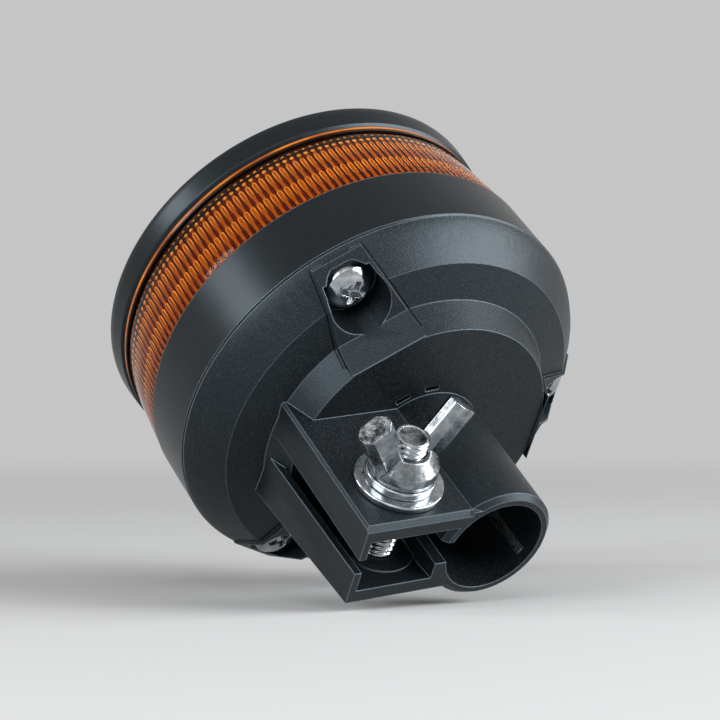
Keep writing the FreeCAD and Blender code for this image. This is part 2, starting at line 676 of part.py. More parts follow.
def make_tabs():
    """Flat-faced tabs that follow the steps of the base and carry its screws."""
    tabs = new_body("screw_tabs")
    side = sketch_on(tabs, "XZ_Plane", "TabSide")
    outline(side, (
        ("flat_radius - tab_inset", "socket_length - tab_proud"),
        ("step_radius - tab_inset", "step_level - tab_proud"),
        ("waist_radius - tab_inset", "waist_level - tab_proud"),
        ("rim_radius - tab_rim_inset", "brow_level"),
        ("rim_radius - tab_rim_inset", "seam_level - gasket_depth"),
        ("rim_radius - rim_width", "seam_level - gasket_depth"),
        ("rim_radius - rim_width", "seam_level"),
        ("flat_radius - tab_inset", "seam_level"),
    ))
    block = pad(tabs, side, "TabBlock", "tab_inner_width", both_ways=True)

    flanks = sketch_on(tabs, "XY_Plane", "TabFlanks")
    inner = "flat_radius - tab_inset"
    outer = "rim_radius - tab_rim_inset"
    for way in ("", "-"):
        corners = [
            (inner, f"{way}tab_inner_width / 2"),
            (outer, f"{way}tab_outer_width / 2"),
            (f"{outer} + tab_proud", f"{way}tab_outer_width / 2"),
            (f"{outer} + tab_proud", f"{way}tab_inner_width"),
            (inner, f"{way}tab_inner_width"),
        ]
        outline(flanks, corners)
    trim = cut(tabs, flanks, "TabTrim", "cap_crown", reversed_way=True)
    repeat(tabs, [block, trim], "tab_count", "Tabs")
    return tabs


def make_base_cuts():
    """Screw pockets and holes, drain slots, earth-strip groove and screw pilots."""
    pockets = new_body("screw_pockets")
    plan = sketch_on(pockets, "XY_Plane", "PocketRound", "socket_length - tab_proud * 2")
    circle(plan, "screw_radius", "0", "pocket_radius")
    depth = f"{POCKET_LEVEL} - socket_length + tab_proud * 2"
    round_end = pad(pockets, plan, "RoundEnd", depth)
    flank = sketch_on(pockets, "XY_Plane", "PocketFlanks", "socket_length - tab_proud * 2")
    outline(flank, (
        ("screw_radius", "-pocket_radius"),
        ("pocket_end", "-pocket_end_width / 2"),
        ("pocket_end", "pocket_end_width / 2"),
        ("screw_radius", "pocket_radius"),
    ))
    flat_end = pad(pockets, flank, "FlatEnd", depth)
    hole = sketch_on(pockets, "XY_Plane", "ScrewHole", "step_level")
    circle(hole, "screw_radius", "0", "screw_size / 2 + screw_play")
    drilled = pad(pockets, hole, "Drilled", "seam_level - step_level + screw_play")
    repeat(pockets, [round_end, flat_end, drilled], "tab_count", "Pockets")

    pilots = new_body("post_pilots")
    plan = sketch_on(pilots, "XY_Plane", "PilotOutline", "board_level - board_screw_length")
    circle(plan, "-board_post_circle", "0", "board_screw_size / 2 + screw_play")
    pilot = pad(pilots, plan, "Pilot", "board_screw_length + screw_play")
    repeat(pilots, [pilot], "tab_count", "Pilots")

    cuts = [pockets, pilots, make_strip_groove("base_groove")]
    for number in range(2):
        slot = box(f"drain_{number + 1}", "drain_width", "drain_length", "base_wall * 2",
                   ("drain_radius", "0", "socket_length - base_wall / 2"),
                   -value(f"drain_angle + {number} * drain_step_angle"))
        cuts.append(slot)
    pilot_foot = f"{STOP_TOP} - stop_height * carrier_pilot_share"
    for number, way in enumerate(("", "-")):
        cuts.append(rod(f"carrier_pilot_{number + 1}",
                        "carrier_screw_size / 2 + screw_play", "stop_height",
                        ("0", f"{way}carrier_screw_radius", pilot_foot)))
    return cuts


def make_strip_groove(label):
    """Space that the earth strip lies in, also where it passes the carrier."""
    inner = "(strip_radius - strip_thickness * 2)"
    outer = f"({STRIP_OUTER} + strip_play)"
    return box(label, f"{outer} - {inner}", "strip_width + strip_play * 2",
               f"{HOUSING_TOP} - strip_foot + strip_play * 2",
               (f"({outer} + {inner}) / 2", "0", "strip_foot - strip_play"),
               value("strip_angle"))


def make_body_ring():
    """Straight-sided ring with the shelf that carries the light module."""
    ring = new_body("ring_blank")
    top_radius = "(ring_radius - ring_taper)"
    turn(ring, (
        ("ring_radius - ring_chamfer", "seam_level"),
        ("ring_radius", "seam_level + ring_chamfer"),
        (top_radius, "ring_top"),
        (f"{top_radius} - seal_inset", "ring_top"),
        (f"{top_radius} - seal_inset", "ring_top - seal_depth"),
        (f"{top_radius} - seal_inset - seal_width", "ring_top - seal_depth"),
        (f"{top_radius} - seal_inset - seal_width", "ring_top"),
        ("ring_radius - ring_wall", "ring_top"),
        ("ring_radius - ring_wall", SINK_LEVEL),
        ("shelf_hole / 2", SINK_LEVEL),
        ("shelf_hole / 2", "shelf_level"),
        ("ring_radius - ring_wall", "shelf_level"),
        ("rim_radius - rim_width", "seam_level"),
    ), "RingWall")
    plan = sketch_on(ring, "XY_Plane", "BossOutline", "seam_level")
    circle(plan, "screw_radius", "0", "boss_radius")
    boss = pad(ring, plan, "Boss", "shelf_level - seam_level")
    web_plan = sketch_on(ring, "XY_Plane", "WebOutline", "seam_level + ring_chamfer * 2")
    rectangle(web_plan, "screw_radius + boss_radius / 2", "ring_radius - ring_wall / 2",
              "-web_width / 2", "web_width / 2")
    web = pad(ring, web_plan, "Web", "shelf_level - seam_level - ring_chamfer * 2")
    repeat(ring, [boss, web], "tab_count", "Bosses")
    hole = sketch_on(ring, "XY_Plane", "BossHoleOutline", "seam_level")
    circle(hole, "screw_radius", "0", "screw_size / 2 + screw_play")
    drilled = cut(ring, hole, "BossHole", "boss_hole_depth", reversed_way=True)
    repeat(ring, [drilled], "tab_count", "BossHoles")
    pilot = sketch_on(ring, "XY_Plane", "ModulePilotOutline", "shelf_level")
    circle(pilot, "-module_screw_circle", "0", "module_screw_size / 2 + screw_play")
    pilots = cut(ring, pilot, "ModulePilot", "shelf_height", reversed_way=True)
    repeat(ring, [pilots], "tab_count", "ModulePilots")
    ring.Label = "body_ring"
    return ring


def make_lens():
    """Amber lens: a turned blank less a prism of round flutes."""
    blank = turned_part("lens_blank", (
        ("flute_crest", "ring_top"),
        ("lens_foot", "ring_top"),
        ("lens_shoulder", "lens_top"),
        ("neck_radius", "lens_top"),
        ("neck_radius", "flange_level"),
        ("flange_radius", "flange_level"),
        ("flange_radius", "flange_top"),
        ("lens_mouth", "flange_top"),
        ("lens_mouth", "flange_top - lens_lip"),
        ("flute_crest", "flange_top - lens_lip"),
    ))
    count = round(value("flute_count"))
    crests = round_places(count, value("flute_crest"))
    valleys = round_places(count, value("flute_valley"), 180 / count)
    level = value("ring_top + flute_margin")
    arcs = []
    for step in range(count):
        start, end = crests[step], crests[(step + 1) % count]
        middle = valleys[step]
        points = [Vector(x, y, level) for x, y in (start, middle, end)]
        arcs.append(Part.Arc(*points).toShape())
    height = value("flange_top - lens_lip - flute_top_margin") - level
    flutes = doc.addObject("Part::Feature", "flute_prism")
    flutes.Shape = Part.Face(Part.Wire(arcs)).extrude(Vector(0, 0, height))
    return take_away("lens", blank, flutes)


def make_cap():
    """Opaque cap with a round shoulder and a collar that plugs into the lens."""
    cap = new_body("top_cap")
    inner = f"({COLLAR_RADIUS} - collar_wall)"
    groove = f"({COLLAR_RADIUS} + cap_seal_inset)"
    shell = turn(cap, (
        ("0", "cap_crown"),
        ("0", "cap_crown - cap_wall"),
        (inner, "cap_shoulder_level - cap_wall"),
        (inner, OPTIC_TOP),
        (COLLAR_RADIUS, OPTIC_TOP),
        (COLLAR_RADIUS, "flange_top"),
        (groove, "flange_top"),
        (groove, "flange_top + cap_seal_depth"),
        (f"{groove} + cap_seal_width", "flange_top + cap_seal_depth"),
        (f"{groove} + cap_seal_width", "flange_top"),
        ("cap_seat", "flange_top"),
        ("cap_edge", "cap_edge_level"),
        ("cap_radius", "cap_side_level"),
        ("cap_radius", "cap_shoulder_level"),
    ), "CapShell")
    rim = []
    for number, edge in enumerate(cap.Shape.Edges, start=1):
        point = edge.Vertexes[0].Point
        radius = math.hypot(point.x, point.y)
        low = abs(edge.BoundBox.ZMin - value("cap_shoulder_level")) < 0.01
        flat = edge.BoundBox.ZLength < 0.01
        if low and flat and abs(radius - value("cap_radius")) < 0.01:
            rim.append(f"Edge{number}")
    fillet = cap.newObject("PartDesign::Fillet", "Shoulder")
    fillet.Base = (shell, rim)
    bind(fillet, "Radius", "cap_round")
    doc.recompute()
    return cap


def flat_ring(label, inner, outer, low, high):
    """Flat ring between two radii and two heights."""
    return turned_part(label, ((inner, low), (outer, low), (outer, high), (inner, high)))


def make_seals():
    """Gasket at the base, seal under the lens and seal under the cap."""
    groove = "(rim_radius - gasket_inset)"
    base = flat_ring("base_gasket", f"{groove} - gasket_width", groove,
                     "seam_level - gasket_depth", "seam_level")
    groove = "(ring_radius - ring_taper - seal_inset)"
    lens = flat_ring("lens_seal", f"{groove} - seal_width", groove,
                     "ring_top - seal_depth", "ring_top")
    groove = f"({COLLAR_RADIUS} + cap_seal_inset)"
    cap = flat_ring("cap_seal", groove, f"{groove} + cap_seal_width",
                    "flange_top", "flange_top + cap_seal_depth")
    return [base, lens, cap]


def along_bolt(thing, level):
    """Stand a part made about Z on the bolt's axis, pointing to -Y."""
    thing.Placement = Placement(Vector(0, 0, 0), Rotation(Vector(1, 0, 0), 90))
    bind(thing, "Placement.Base.x", "-bolt_offset")
    bind(thing, "Placement.Base.y", level)
    bind(thing, "Placement.Base.z", "bolt_level")
    doc.recompute()
    return thing


def make_clamp_hardware():
    """Bolt, two washers and wing nut, each made about Z and laid on the bolt's axis."""
    bolt = new_body("clamp_bolt")
    head = sketch_on(bolt, "XY_Plane", "HeadOutline")
    half = "head_flats / 2"
    corner = "head_flats / 2 / sqrt(3)"
    outline(head, (
        (f"-{half}", f"-{corner}"), ("0", f"-2 * {corner}"), (half, f"-{corner}"),
        (half, corner), ("0", f"2 * {corner}"), (f"-{half}", corner),
    ))
    pad(bolt, head, "Head", "head_height", reversed_way=True)
    turn(bolt, (
        ("0", "-head_height / 2"),
        ("bolt_size / 2", "-head_height / 2"),
        ("bolt_size / 2", "bolt_length - bolt_chamfer"),
        ("bolt_size / 2 - bolt_chamfer", "bolt_length"),
        ("0", "bolt_length"),
    ), "Shank")
    along_bolt(bolt, "head_seat")

    washer = flat_ring("flat_washer", "washer_bore / 2", "washer_size / 2", "0", "washer_height")
    along_bolt(washer, "-leaf_level")

    lock = flat_ring("spring_washer", "washer_bore / 2", "lock_size / 2", "0", "lock_height")
    gap = sketch_on(lock, "XY_Plane", "GapOutline")
    rectangle(gap, "0", "lock_size", "-lock_gap / 2", "lock_gap / 2")
    cut(lock, gap, "Gap", "lock_height", reversed_way=True)
    along_bolt(lock, "-leaf_level - washer_height")

    nut = make_wing_nut()
    return [bolt, washer, lock, nut]


def make_wing_nut():
    """Barrel with two rising, chamfered wings."""
    barrel = turned_part("nut_barrel", (
        ("0", "0"),
        ("nut_foot / 2", "0"),
        ("nut_belly / 2", "nut_height * nut_belly_low"),
        ("nut_belly / 2", "nut_height * nut_belly_high"),
        ("nut_neck / 2", "nut_height"),
        ("0", "nut_height"),
    ))
    wings = []
    for number in range(2):
        wing = doc.addObject("Part::Box", f"wing_bar_{number + 1}")
        bind(wing, "Length", "wing_length")
        bind(wing, "Width", "wing_width")
        bind(wing, "Height", "wing_depth")
        bevel = doc.addObject("Part::Chamfer", f"wing_bevel_{number + 1}")
        bevel.Base = wing
        doc.recompute()
        size = value("wing_edge")
        long_edges = []
        for place, edge in enumerate(wing.Shape.Edges, start=1):
            if edge.BoundBox.XLength > value("wing_length") - 0.01:
                long_edges.append((place, size, size))
        bevel.Edges = long_edges
        lay = Placement(Vector(0, -value("wing_width") / 2, -value("wing_depth") / 2), Rotation())
        lean = Placement(Vector(0, 0, -value("wing_root")),
                         Rotation(Vector(0, 1, 0), -value("wing_angle")))
        spin = Placement(Vector(0, 0, 0),
                         Rotation(Vector(0, 0, 1), 180 * number + value("wing_yaw_angle")))
        bevel.Placement = spin.multiply(lean).multiply(lay)
        wings.append(bevel)
    under_wings = rod("under_wings", "wing_length * 2", "wing_length * 2",
                      ("0", "0", "wing_foot - wing_length * 2"))
    risen = take_away("risen_wings", join("wing_pair", wings), under_wings)
    blank = join("nut_blank", [barrel, risen])
    bore = rod("nut_bore", "bolt_size / 2 + thread_play", "wing_length * 3",
               ("0", "0", "-wing_length"))
    nut = take_away("wing_nut", blank, bore)
    along_bolt(nut, f"-{NUT_SEAT}")
    return nut


def make_contacts():
    """Contact carrier, sprung plunger, its terminal, earth strip and screws."""
    blank = turned_part("carrier_blank", (
        ("plunger_radius + running_fit", HUB_FOOT),
        ("hub_radius", HUB_FOOT),
        ("hub_radius", STOP_TOP),
        ("disc_radius", STOP_TOP),
        ("disc_radius", DISC_TOP),
        ("terminal_radius + running_fit", DISC_TOP),
        ("terminal_radius + running_fit", SPRING_TOP),
        ("plunger_flange + running_fit", SPRING_TOP),
        ("plunger_flange + running_fit", PLUNGER_SEAT),
        ("plunger_radius + running_fit", PLUNGER_SEAT),
    ))
    cuts = [make_strip_groove("carrier_notch")]
    for number, way in enumerate(("", "-")):
        cuts.append(rod(f"carrier_hole_{number + 1}", "carrier_screw_size / 2 + screw_play",
                        "disc_height * 2", ("0", f"{way}carrier_screw_radius", STOP_TOP)))
    carrier = take_away("contact_carrier", blank, join("carrier_cuts", cuts))

    plunger = turned_part("contact_plunger", (
        ("0", f"{HUB_FOOT} - plunger_reach"),
        ("plunger_radius - tip_chamfer", f"{HUB_FOOT} - plunger_reach"),
        ("plunger_radius", f"{HUB_FOOT} - plunger_reach + tip_chamfer"),
        ("plunger_radius", PLUNGER_SEAT),
        ("plunger_flange", PLUNGER_SEAT),
        ("plunger_flange", SPRING_FOOT),
        ("pin_radius", SPRING_FOOT),
        ("pin_radius", f"{SPRING_FOOT} + pin_height"),
        ("0", f"{SPRING_FOOT} + pin_height"),
    ))

    terminal = turned_part("plunger_terminal", (
        ("0", SPRING_TOP),
        ("terminal_radius", SPRING_TOP),
        ("terminal_radius", f"{SPRING_TOP} + terminal_height"),
        ("post_radius", f"{SPRING_TOP} + terminal_height"),
        ("post_radius", "post_top"),
        ("0", "post_top"),
    ))

    strip = box("earth_contact", "strip_thickness", "strip_width",
                "post_top - strip_foot", ("strip_radius + strip_thickness / 2", "0", "strip_foot"),
                value("strip_angle"))
    reach = value("carrier_screw_radius")
    screws = pan_screws("carrier_screws", ("carrier_screw_size", "carrier_screw_length",
                                           "carrier_screw_head", "carrier_screw_crown"),
                        ((0, reach), (0, -reach)), DISC_TOP, points_up=False)
    return [carrier, plunger, make_spring(), terminal, strip, screws]


def make_spring():
    """Helix of eight-sided wire between the plunger's flange and the terminal."""
    wire = value("spring_wire") / 2
    low = value(SPRING_FOOT) + wire
    height = value(SPRING_TOP) - wire - low
    turns = value("spring_turns")
    reach = value("spring_radius")
    helix = Part.makeHelix(height / turns, height, reach)
    rise = math.atan2(height / turns, 2 * math.pi * reach)
    outward = Vector(1, 0, 0)
    upward = Vector(0, -math.sin(rise), math.cos(rise))
    corners = [Vector(reach, 0, 0) + outward * x + upward * y
               for x, y in round_places(round(value("spring_flats")), wire)]
    section = Part.makePolygon(corners + corners[:1])
    coil = Part.Wire(helix).makePipeShell([section], True, True)
    spring = doc.addObject("Part::Feature", "plunger_spring")
    spring.Shape = coil.translated(Vector(0, 0, low))
    return spring


def lead(label, route):
    """Round lead along straight runs joined by tangent arcs."""
    points = [Vector(*place) for place in route]
    edges = []
    start = points[0]
    for before, corner, after in zip(points, points[1:], points[2:]):
        back = (before - corner).normalize()
        ahead = (after - corner).normalize()
        half_turn = (math.pi - back.getAngle(ahead)) / 2
        run = min((before - corner).Length, (after - corner).Length)
        reach = LEAD_BEND_SHARE * run
        radius = reach / math.tan(half_turn)
        print(f"{label}: bend radius {radius:.1f} mm")
        first, last = corner + back * reach, corner + ahead * reach
        bisector = (back + ahead).normalize()
        centre = corner + bisector * (radius / math.cos(half_turn))
        middle = centre - bisector * radius
        edges.append(Part.makeLine(start, first))
        edges.append(Part.Arc(first, middle, last).toShape())
        start = last
    edges.append(Part.makeLine(start, points[-1]))
    path = Part.Wire(edges)
    radius = value("lead_size / 2")
    section = Part.Wire(Part.makeCircle(radius, points[0], points[1] - points[0]))
    tube = doc.addObject("Part::Feature", label)
    tube.Shape = path.makePipeShell([section], True, False)
    print(f"{label}: volume over section times length "
          f"{tube.Shape.Volume / (math.pi * radius ** 2 * path.Length):.4f}")
    return tube


# Share of the shorter run beside a lead's corner that its bend takes, and
# shares of the way to the inlet terminal at which the leads bend.
LEAD_BEND_SHARE = 0.45
LEAD_FIRST_BEND = 0.35
LEAD_LAST_BEND = 0.72


def make_leads():
    """Supply lead from the plunger's terminal and earth lead from the strip."""
    level = value("lead_level")
    block = -value("block_near")
    half = value("lead_pitch") / 2
    start = value("post_radius + lead_size / 20")
    supply = lead("supply_lead", (
        (-start, 0, level),
        (block * LEAD_FIRST_BEND, 0, level),
        (block * LEAD_LAST_BEND, -half, level),
        (block, -half, level),
    ))
    angle = math.radians(value("strip_angle"))
    reach = value("strip_radius - lead_size / 20") - value("lead_size / 4")
    foot = (reach * math.cos(angle), reach * math.sin(angle), level)
    earth = lead("earth_lead", (
        foot,
        (0, half * 3, level),
        (block * LEAD_LAST_BEND, half, level),
        (block, half, level),
    ))
    return [supply, earth]


def make_driver():
    """Driver board with its components and screws."""
    board = flat_ring("driver_board", "0", "board_radius", "board_level", BOARD_TOP)
    holes = sketch_on(board, "XY_Plane", "BoardHole", "board_level")
    circle(holes, "-board_post_circle", "0", "board_screw_size / 2 + screw_play")
    hole = cut(board, holes, "Hole", "board_height", reversed_way=True)
    repeat(board, [hole], "tab_count", "Holes")
    post_places = tab_places("board_post_circle", 180)
    screws = pan_screws("board_screws", ("board_screw_size", "board_screw_length",
                                         "board_screw_head", "board_screw_crown"),
                        post_places, BOARD_TOP, points_up=False)
    block = box("inlet_terminal", "block_length", "block_width", "block_height",
                ("-(block_near + block_length / 2)", "0", "board_level - block_height"))
    parts = [board, screws, block]
    for number, degrees in enumerate(CAPACITOR_ANGLES):
        angle = math.radians(degrees)
        place = [f"capacitor_radius * {round(math.cos(angle), 4)}",
                 f"capacitor_radius * {round(math.sin(angle), 4)}",
                 "board_level - capacitor_height"]
        parts.append(rod(f"storage_capacitor_{number + 1}", "capacitor_size / 2",
                         "capacitor_height", place))
    parts.append(box("power_inductor", "inductor_size", "inductor_size", "inductor_height",
                     ("capacitor_radius", "0", "board_level - inductor_height"), INDUCTOR_ANGLE))
    for number, degrees in enumerate(CHIP_ANGLES):
        parts.append(box(f"driver_chip_{number + 1}", "chip_length", "chip_width", "chip_height",
                         ("capacitor_radius", "0", BOARD_TOP), degrees))
    parts.append(box("protection_diode", "diode_length", "diode_width", "diode_height",
                     ("capacitor_radius", "0", BOARD_TOP), DIODE_ANGLE))
    parts.append(box("board_header", "header_length", "header_width",
                     f"{LIGHT_LEVEL} - {BOARD_TOP}", ("0", "0", BOARD_TOP)))
    return parts


def drilled_disc(label, inner, outer, low, high):
    """Flat ring of the light module with the three holes for its screws."""
    disc = flat_ring(label, inner, outer, low, high)
    holes = sketch_on(disc, "XY_Plane", label + "_hole", low)
    circle(holes, "-module_screw_circle", "0", "module_screw_size / 2 + screw_play")
    hole = cut(disc, holes, label + "_drilled", f"{high} - {low}", reversed_way=True)
    repeat(disc, [hole], "tab_count", label + "_holes")
    return disc


def make_light_module():
    """Heat sink, thermal pad, LED board, light sources, optic ring and screws."""
    sink = drilled_disc("heat_sink", "module_hole / 2", "sink_radius", SINK_LEVEL, PAD_LEVEL)
    pad_sheet = drilled_disc("thermal_pad", "module_hole / 2",
                             "light_board_radius", PAD_LEVEL, LIGHT_LEVEL)
    board = drilled_disc("light_board", "0", "light_board_radius", LIGHT_LEVEL, LIGHT_TOP)
    screws = pan_screws("module_screws", ("module_screw_size", "module_screw_length",
                                          "module_screw_head", "module_screw_crown"),
                        tab_places("module_screw_circle", 180),
                        LIGHT_TOP, points_up=False)
    parts = [sink, pad_sheet, board, screws]
    count = round(value("led_count"))
    first_angle = value("led_angle")
    led_places = round_places(count, value("led_circle"), first_angle)
    for number, (x, y) in enumerate(led_places, start=1):
        angle = first_angle + 360 * (number - 1) / count
        base = box(f"led_package_{number}", "led_side", "led_side", "led_height",
                   ("led_circle", "0", LIGHT_TOP), angle)
        dome = doc.addObject("Part::Sphere", f"led_dome_{number}")
        bind(dome, "Radius", "led_dome")
        dome.Angle1 = 0
        dome.Placement = Placement(Vector(x, y, value(f"{LIGHT_TOP} + led_height")), Rotation())
        parts.append(join(f"led_{number}", [base, dome]))
    foot = "(optic_radius - optic_foot)"
    parts.append(turned_part("optic_ring", (
        (foot, LIGHT_TOP),
        ("optic_radius", LIGHT_TOP),
        ("optic_radius", OPTIC_TOP),
        ("optic_radius - optic_top", OPTIC_TOP),
        ("optic_radius - optic_reach", f"{LIGHT_TOP} + optic_clear + optic_foot / 4"),
        ("optic_radius - optic_reach", f"{LIGHT_TOP} + optic_clear"),
        (foot, f"{LIGHT_TOP} + optic_clear"),
    )))
    return parts


def make_all():
    """Every sub-part in the order of assembly."""
    parts = [make_base()]
    parts += make_clamp_hardware()
    parts += make_contacts()
    parts += make_leads()
    parts += make_driver()
    places = tab_places("screw_radius")
    parts.append(pan_screws("base_screws", ("screw_size", "screw_length",
                                            "screw_head", "screw_crown"),
                            places, POCKET_LEVEL, points_up=True))
    parts.append(make_body_ring())
    parts += make_light_module()
    parts.append(make_lens())
    parts.append(make_cap())
    parts += make_seals()
    return parts


sub_parts = make_all()
doc.recompute()
for thing in doc.Objects:
    if "Invalid" in thing.State or "Error" in thing.State:
        raise RuntimeError(f"{thing.Label} failed: {thing.State}")
os.makedirs("parts", exist_ok=True)
for thing in sub_parts:
    shape = thing.Shape
    if shape.isNull() or not shape.isValid():
        raise RuntimeError(f"{thing.Label} has no valid shape")
    shape.exportStep(os.path.join("parts", thing.Label + ".step"))
print(f"{len(sub_parts)} sub-parts")
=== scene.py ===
"""Dresses the amber warning beacon and lights it on a pale floor.

The frame's origin is the centre of the pole socket's mouth and Z runs up the
beacon's axis. Shapes are worked out in millimetres and written in metres.
"""

import json
import logging
import math
from dataclasses import dataclass, field
from enum import Enum
from typing import Iterable

import bmesh
import bpy
import numpy as np
from bpy.types import (Material, Mesh, Node, NodeSocket, NodeTree, Object,
                       bpy_prop_collection)
from mathutils import Matrix, Vector


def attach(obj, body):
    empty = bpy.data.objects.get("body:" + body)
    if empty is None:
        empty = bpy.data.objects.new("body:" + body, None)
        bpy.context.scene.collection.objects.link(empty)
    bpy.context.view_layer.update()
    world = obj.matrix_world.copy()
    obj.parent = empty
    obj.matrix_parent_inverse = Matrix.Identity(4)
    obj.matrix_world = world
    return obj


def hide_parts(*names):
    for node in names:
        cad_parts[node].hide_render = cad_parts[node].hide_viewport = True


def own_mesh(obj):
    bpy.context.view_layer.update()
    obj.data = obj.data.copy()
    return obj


LOG = logging.getLogger("beacon")
MM = 0.001
# Most of a noise texture's values lie between these two.
NOISE_LOW, NOISE_HIGH = 0.35, 0.65
# Numbers of the Mix node's two colour inputs.
COLOUR_A, COLOUR_B = 6, 7
# Edges of a solid that fold by more than this are its real ones.
FOLD_DEGREES = 28
# Points nearer to each other than this are one, in metres.
WELD_DISTANCE = 0.002 * MM

# What a node's input can be given, two arrays that make a surface (radius and
# height, or points and faces), and three numbers, mostly for X, Y and Z.
Input = Node | NodeSocket | float | tuple[float, ...]
Shape = tuple[np.ndarray, np.ndarray]
Triple = tuple[float, float, float]

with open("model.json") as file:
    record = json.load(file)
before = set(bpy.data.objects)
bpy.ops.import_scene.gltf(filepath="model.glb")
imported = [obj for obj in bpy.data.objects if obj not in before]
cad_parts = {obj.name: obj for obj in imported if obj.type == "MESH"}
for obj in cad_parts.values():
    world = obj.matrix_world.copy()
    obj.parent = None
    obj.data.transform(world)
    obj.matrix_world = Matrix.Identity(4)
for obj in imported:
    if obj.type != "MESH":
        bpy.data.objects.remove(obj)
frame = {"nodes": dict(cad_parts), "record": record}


class Body(Enum):
    """Moving bodies of the record that a piece can ride on."""

    HOUSING = "housing"
    WASHERS = "clamp_washers"
    NUT = "wing_nut"


def linear(code: str) -> tuple[float, ...]:
    """Turns an sRGB hex colour into linear RGBA.

    Each channel c is c / 12.92 below 0.04045 and otherwise
    ((c + 0.055) / 1.055) to the power 2.4.

    Args:
        code: Colour such as "#1A1B1D".

    Returns:
        Four numbers from 0 to 1, the last of which is 1.
    """
    channels = np.array([int(code[i:i + 2], 16) for i in (1, 3, 5)]) / 255
    low = channels / 12.92
    high = ((channels + 0.055) / 1.055) ** 2.4
    return (*np.where(channels <= 0.04045, low, high).tolist(), 1.0)


def add_node(tree: NodeTree, kind: str, *inputs: Input,
             named: dict[str | int, Input] | None = None, **settings: object) -> Node:
    """Adds one node with its settings, input values and links.

    Args:
        tree: Node tree of the material or world.
        kind: Blender's name of the node type, without its ShaderNode.
        inputs: Values, sockets or nodes for the first inputs, in order. A
            node stands for its first output in use.
        named: The same for further inputs, by name or number.
        settings: Values by property name.

    Returns:
        The new node.
    """
    node = tree.nodes.new(f"ShaderNode{kind}")
    for name, setting in settings.items():
        setattr(node, name, setting)
    for name, given in {**dict(enumerate(inputs)), **(named or {})}.items():
        if isinstance(given, Node):
            given = next(socket for socket in given.outputs if socket.enabled)
        if isinstance(given, NodeSocket):
            tree.links.new(given, node.inputs[name])
        else:
            node.inputs[name].default_value = given
    return node


def mottle(tree: NodeTree, blob_mm: float, detail: float = 2.0,
           stretch: Triple = (1, 1, 1)) -> Node:
    """Adds fractal noise whose blobs have a real size.

    The texture's scale is blobs per metre: 1 / (size of one in metres).

    Args:
        tree: Node tree of the material.
        blob_mm: Size of one blob in millimetres.
        detail: Octaves of finer noise.
        stretch: Factors on X, Y and Z, for grain that runs one way.

    Returns:
        The noise.
    """
    place = add_node(tree, "TexCoord").outputs["Object"]
    laid = add_node(tree, "Mapping", place, named={"Scale": stretch})
    return add_node(tree, "TexNoise", laid,
                    named={"Scale": 1 / (blob_mm * MM), "Detail": detail})


def edge_rounding_and_highlight(tree: NodeTree, edge_mm: float) -> tuple[Node, Node]:
    """Adds a normal rounded over every edge, and the edge share for the painted highlight.

    The share is 0 where the dot product of the rounded and the flat normal is
    at least 0.995, and 1 where it is at most 0.93.

    Args:
        tree: Node tree of the material.
        edge_mm: Radius of the rounding in millimetres.

    Returns:
        The rounded normal and the share.
    """
    rounded = add_node(tree, "Bevel", edge_mm * MM, samples=6)
    flat = add_node(tree, "NewGeometry").outputs["Normal"]
    likeness = add_node(tree, "VectorMath", rounded, flat, operation="DOT_PRODUCT")
    return rounded, add_node(tree, "MapRange", likeness, 0.93, 0.995, 1, 0)


def layered(tree: NodeTree, shade: str, layers: Iterable[tuple[Node, str]]) -> Node:
    """Lays colours over a first one.

    Args:
        tree: Node tree of the material.
        shade: The first colour.
        layers: Share and colour of each further one.

    Returns:
        The node that gives the last mixture.
    """
    colour = linear(shade)
    for share, over in layers:
        colour = add_node(tree, "Mix", share, data_type="RGBA",
                          named={COLOUR_A: colour, COLOUR_B: linear(over)})
    return colour


@dataclass(frozen=True)
class Finish:
    """A surface of the real object.

    Attributes:
        name: Name of its material.
    """

    name: str

    def shader(self, tree: NodeTree) -> Node:
        """Adds the nodes of the surface and gives their shader.

        Args:
            tree: Node tree of the material.

        Returns:
            The shader.
        """
        raise NotImplementedError

    def material(self) -> Material:
        """Builds the material.

        Returns:
            The material, with an output for the finish's shader.
        """
        made = bpy.data.materials.new(self.name)
        made.use_nodes = True
        made.node_tree.nodes.clear()
        add_node(made.node_tree, "OutputMaterial", self.shader(made.node_tree))
        return made


def opaque(tree: NodeTree, colour: Node, rough: Node, height: Node, normal: Node,
           **more: Input) -> Node:
    """Adds the shader of an opaque surface with relief.

    Args:
        tree: Node tree of the material.
        colour: Its colour.
        rough: Its roughness.
        height: Its relief in metres.
        normal: The normal that the relief stands on.
        more: Further inputs of the shader, with _ for a space.

    Returns:
        The shader.
    """
    bump = add_node(tree, "Bump", named={"Strength": 1.0, "Distance": 1.0,
                                         "Height": height, "Normal": normal})
    named = {name.replace("_", " "): given for name, given in more.items()}
    return add_node(tree, "BsdfPrincipled", colour,
                    named={"Roughness": rough, "Normal": bump, **named})


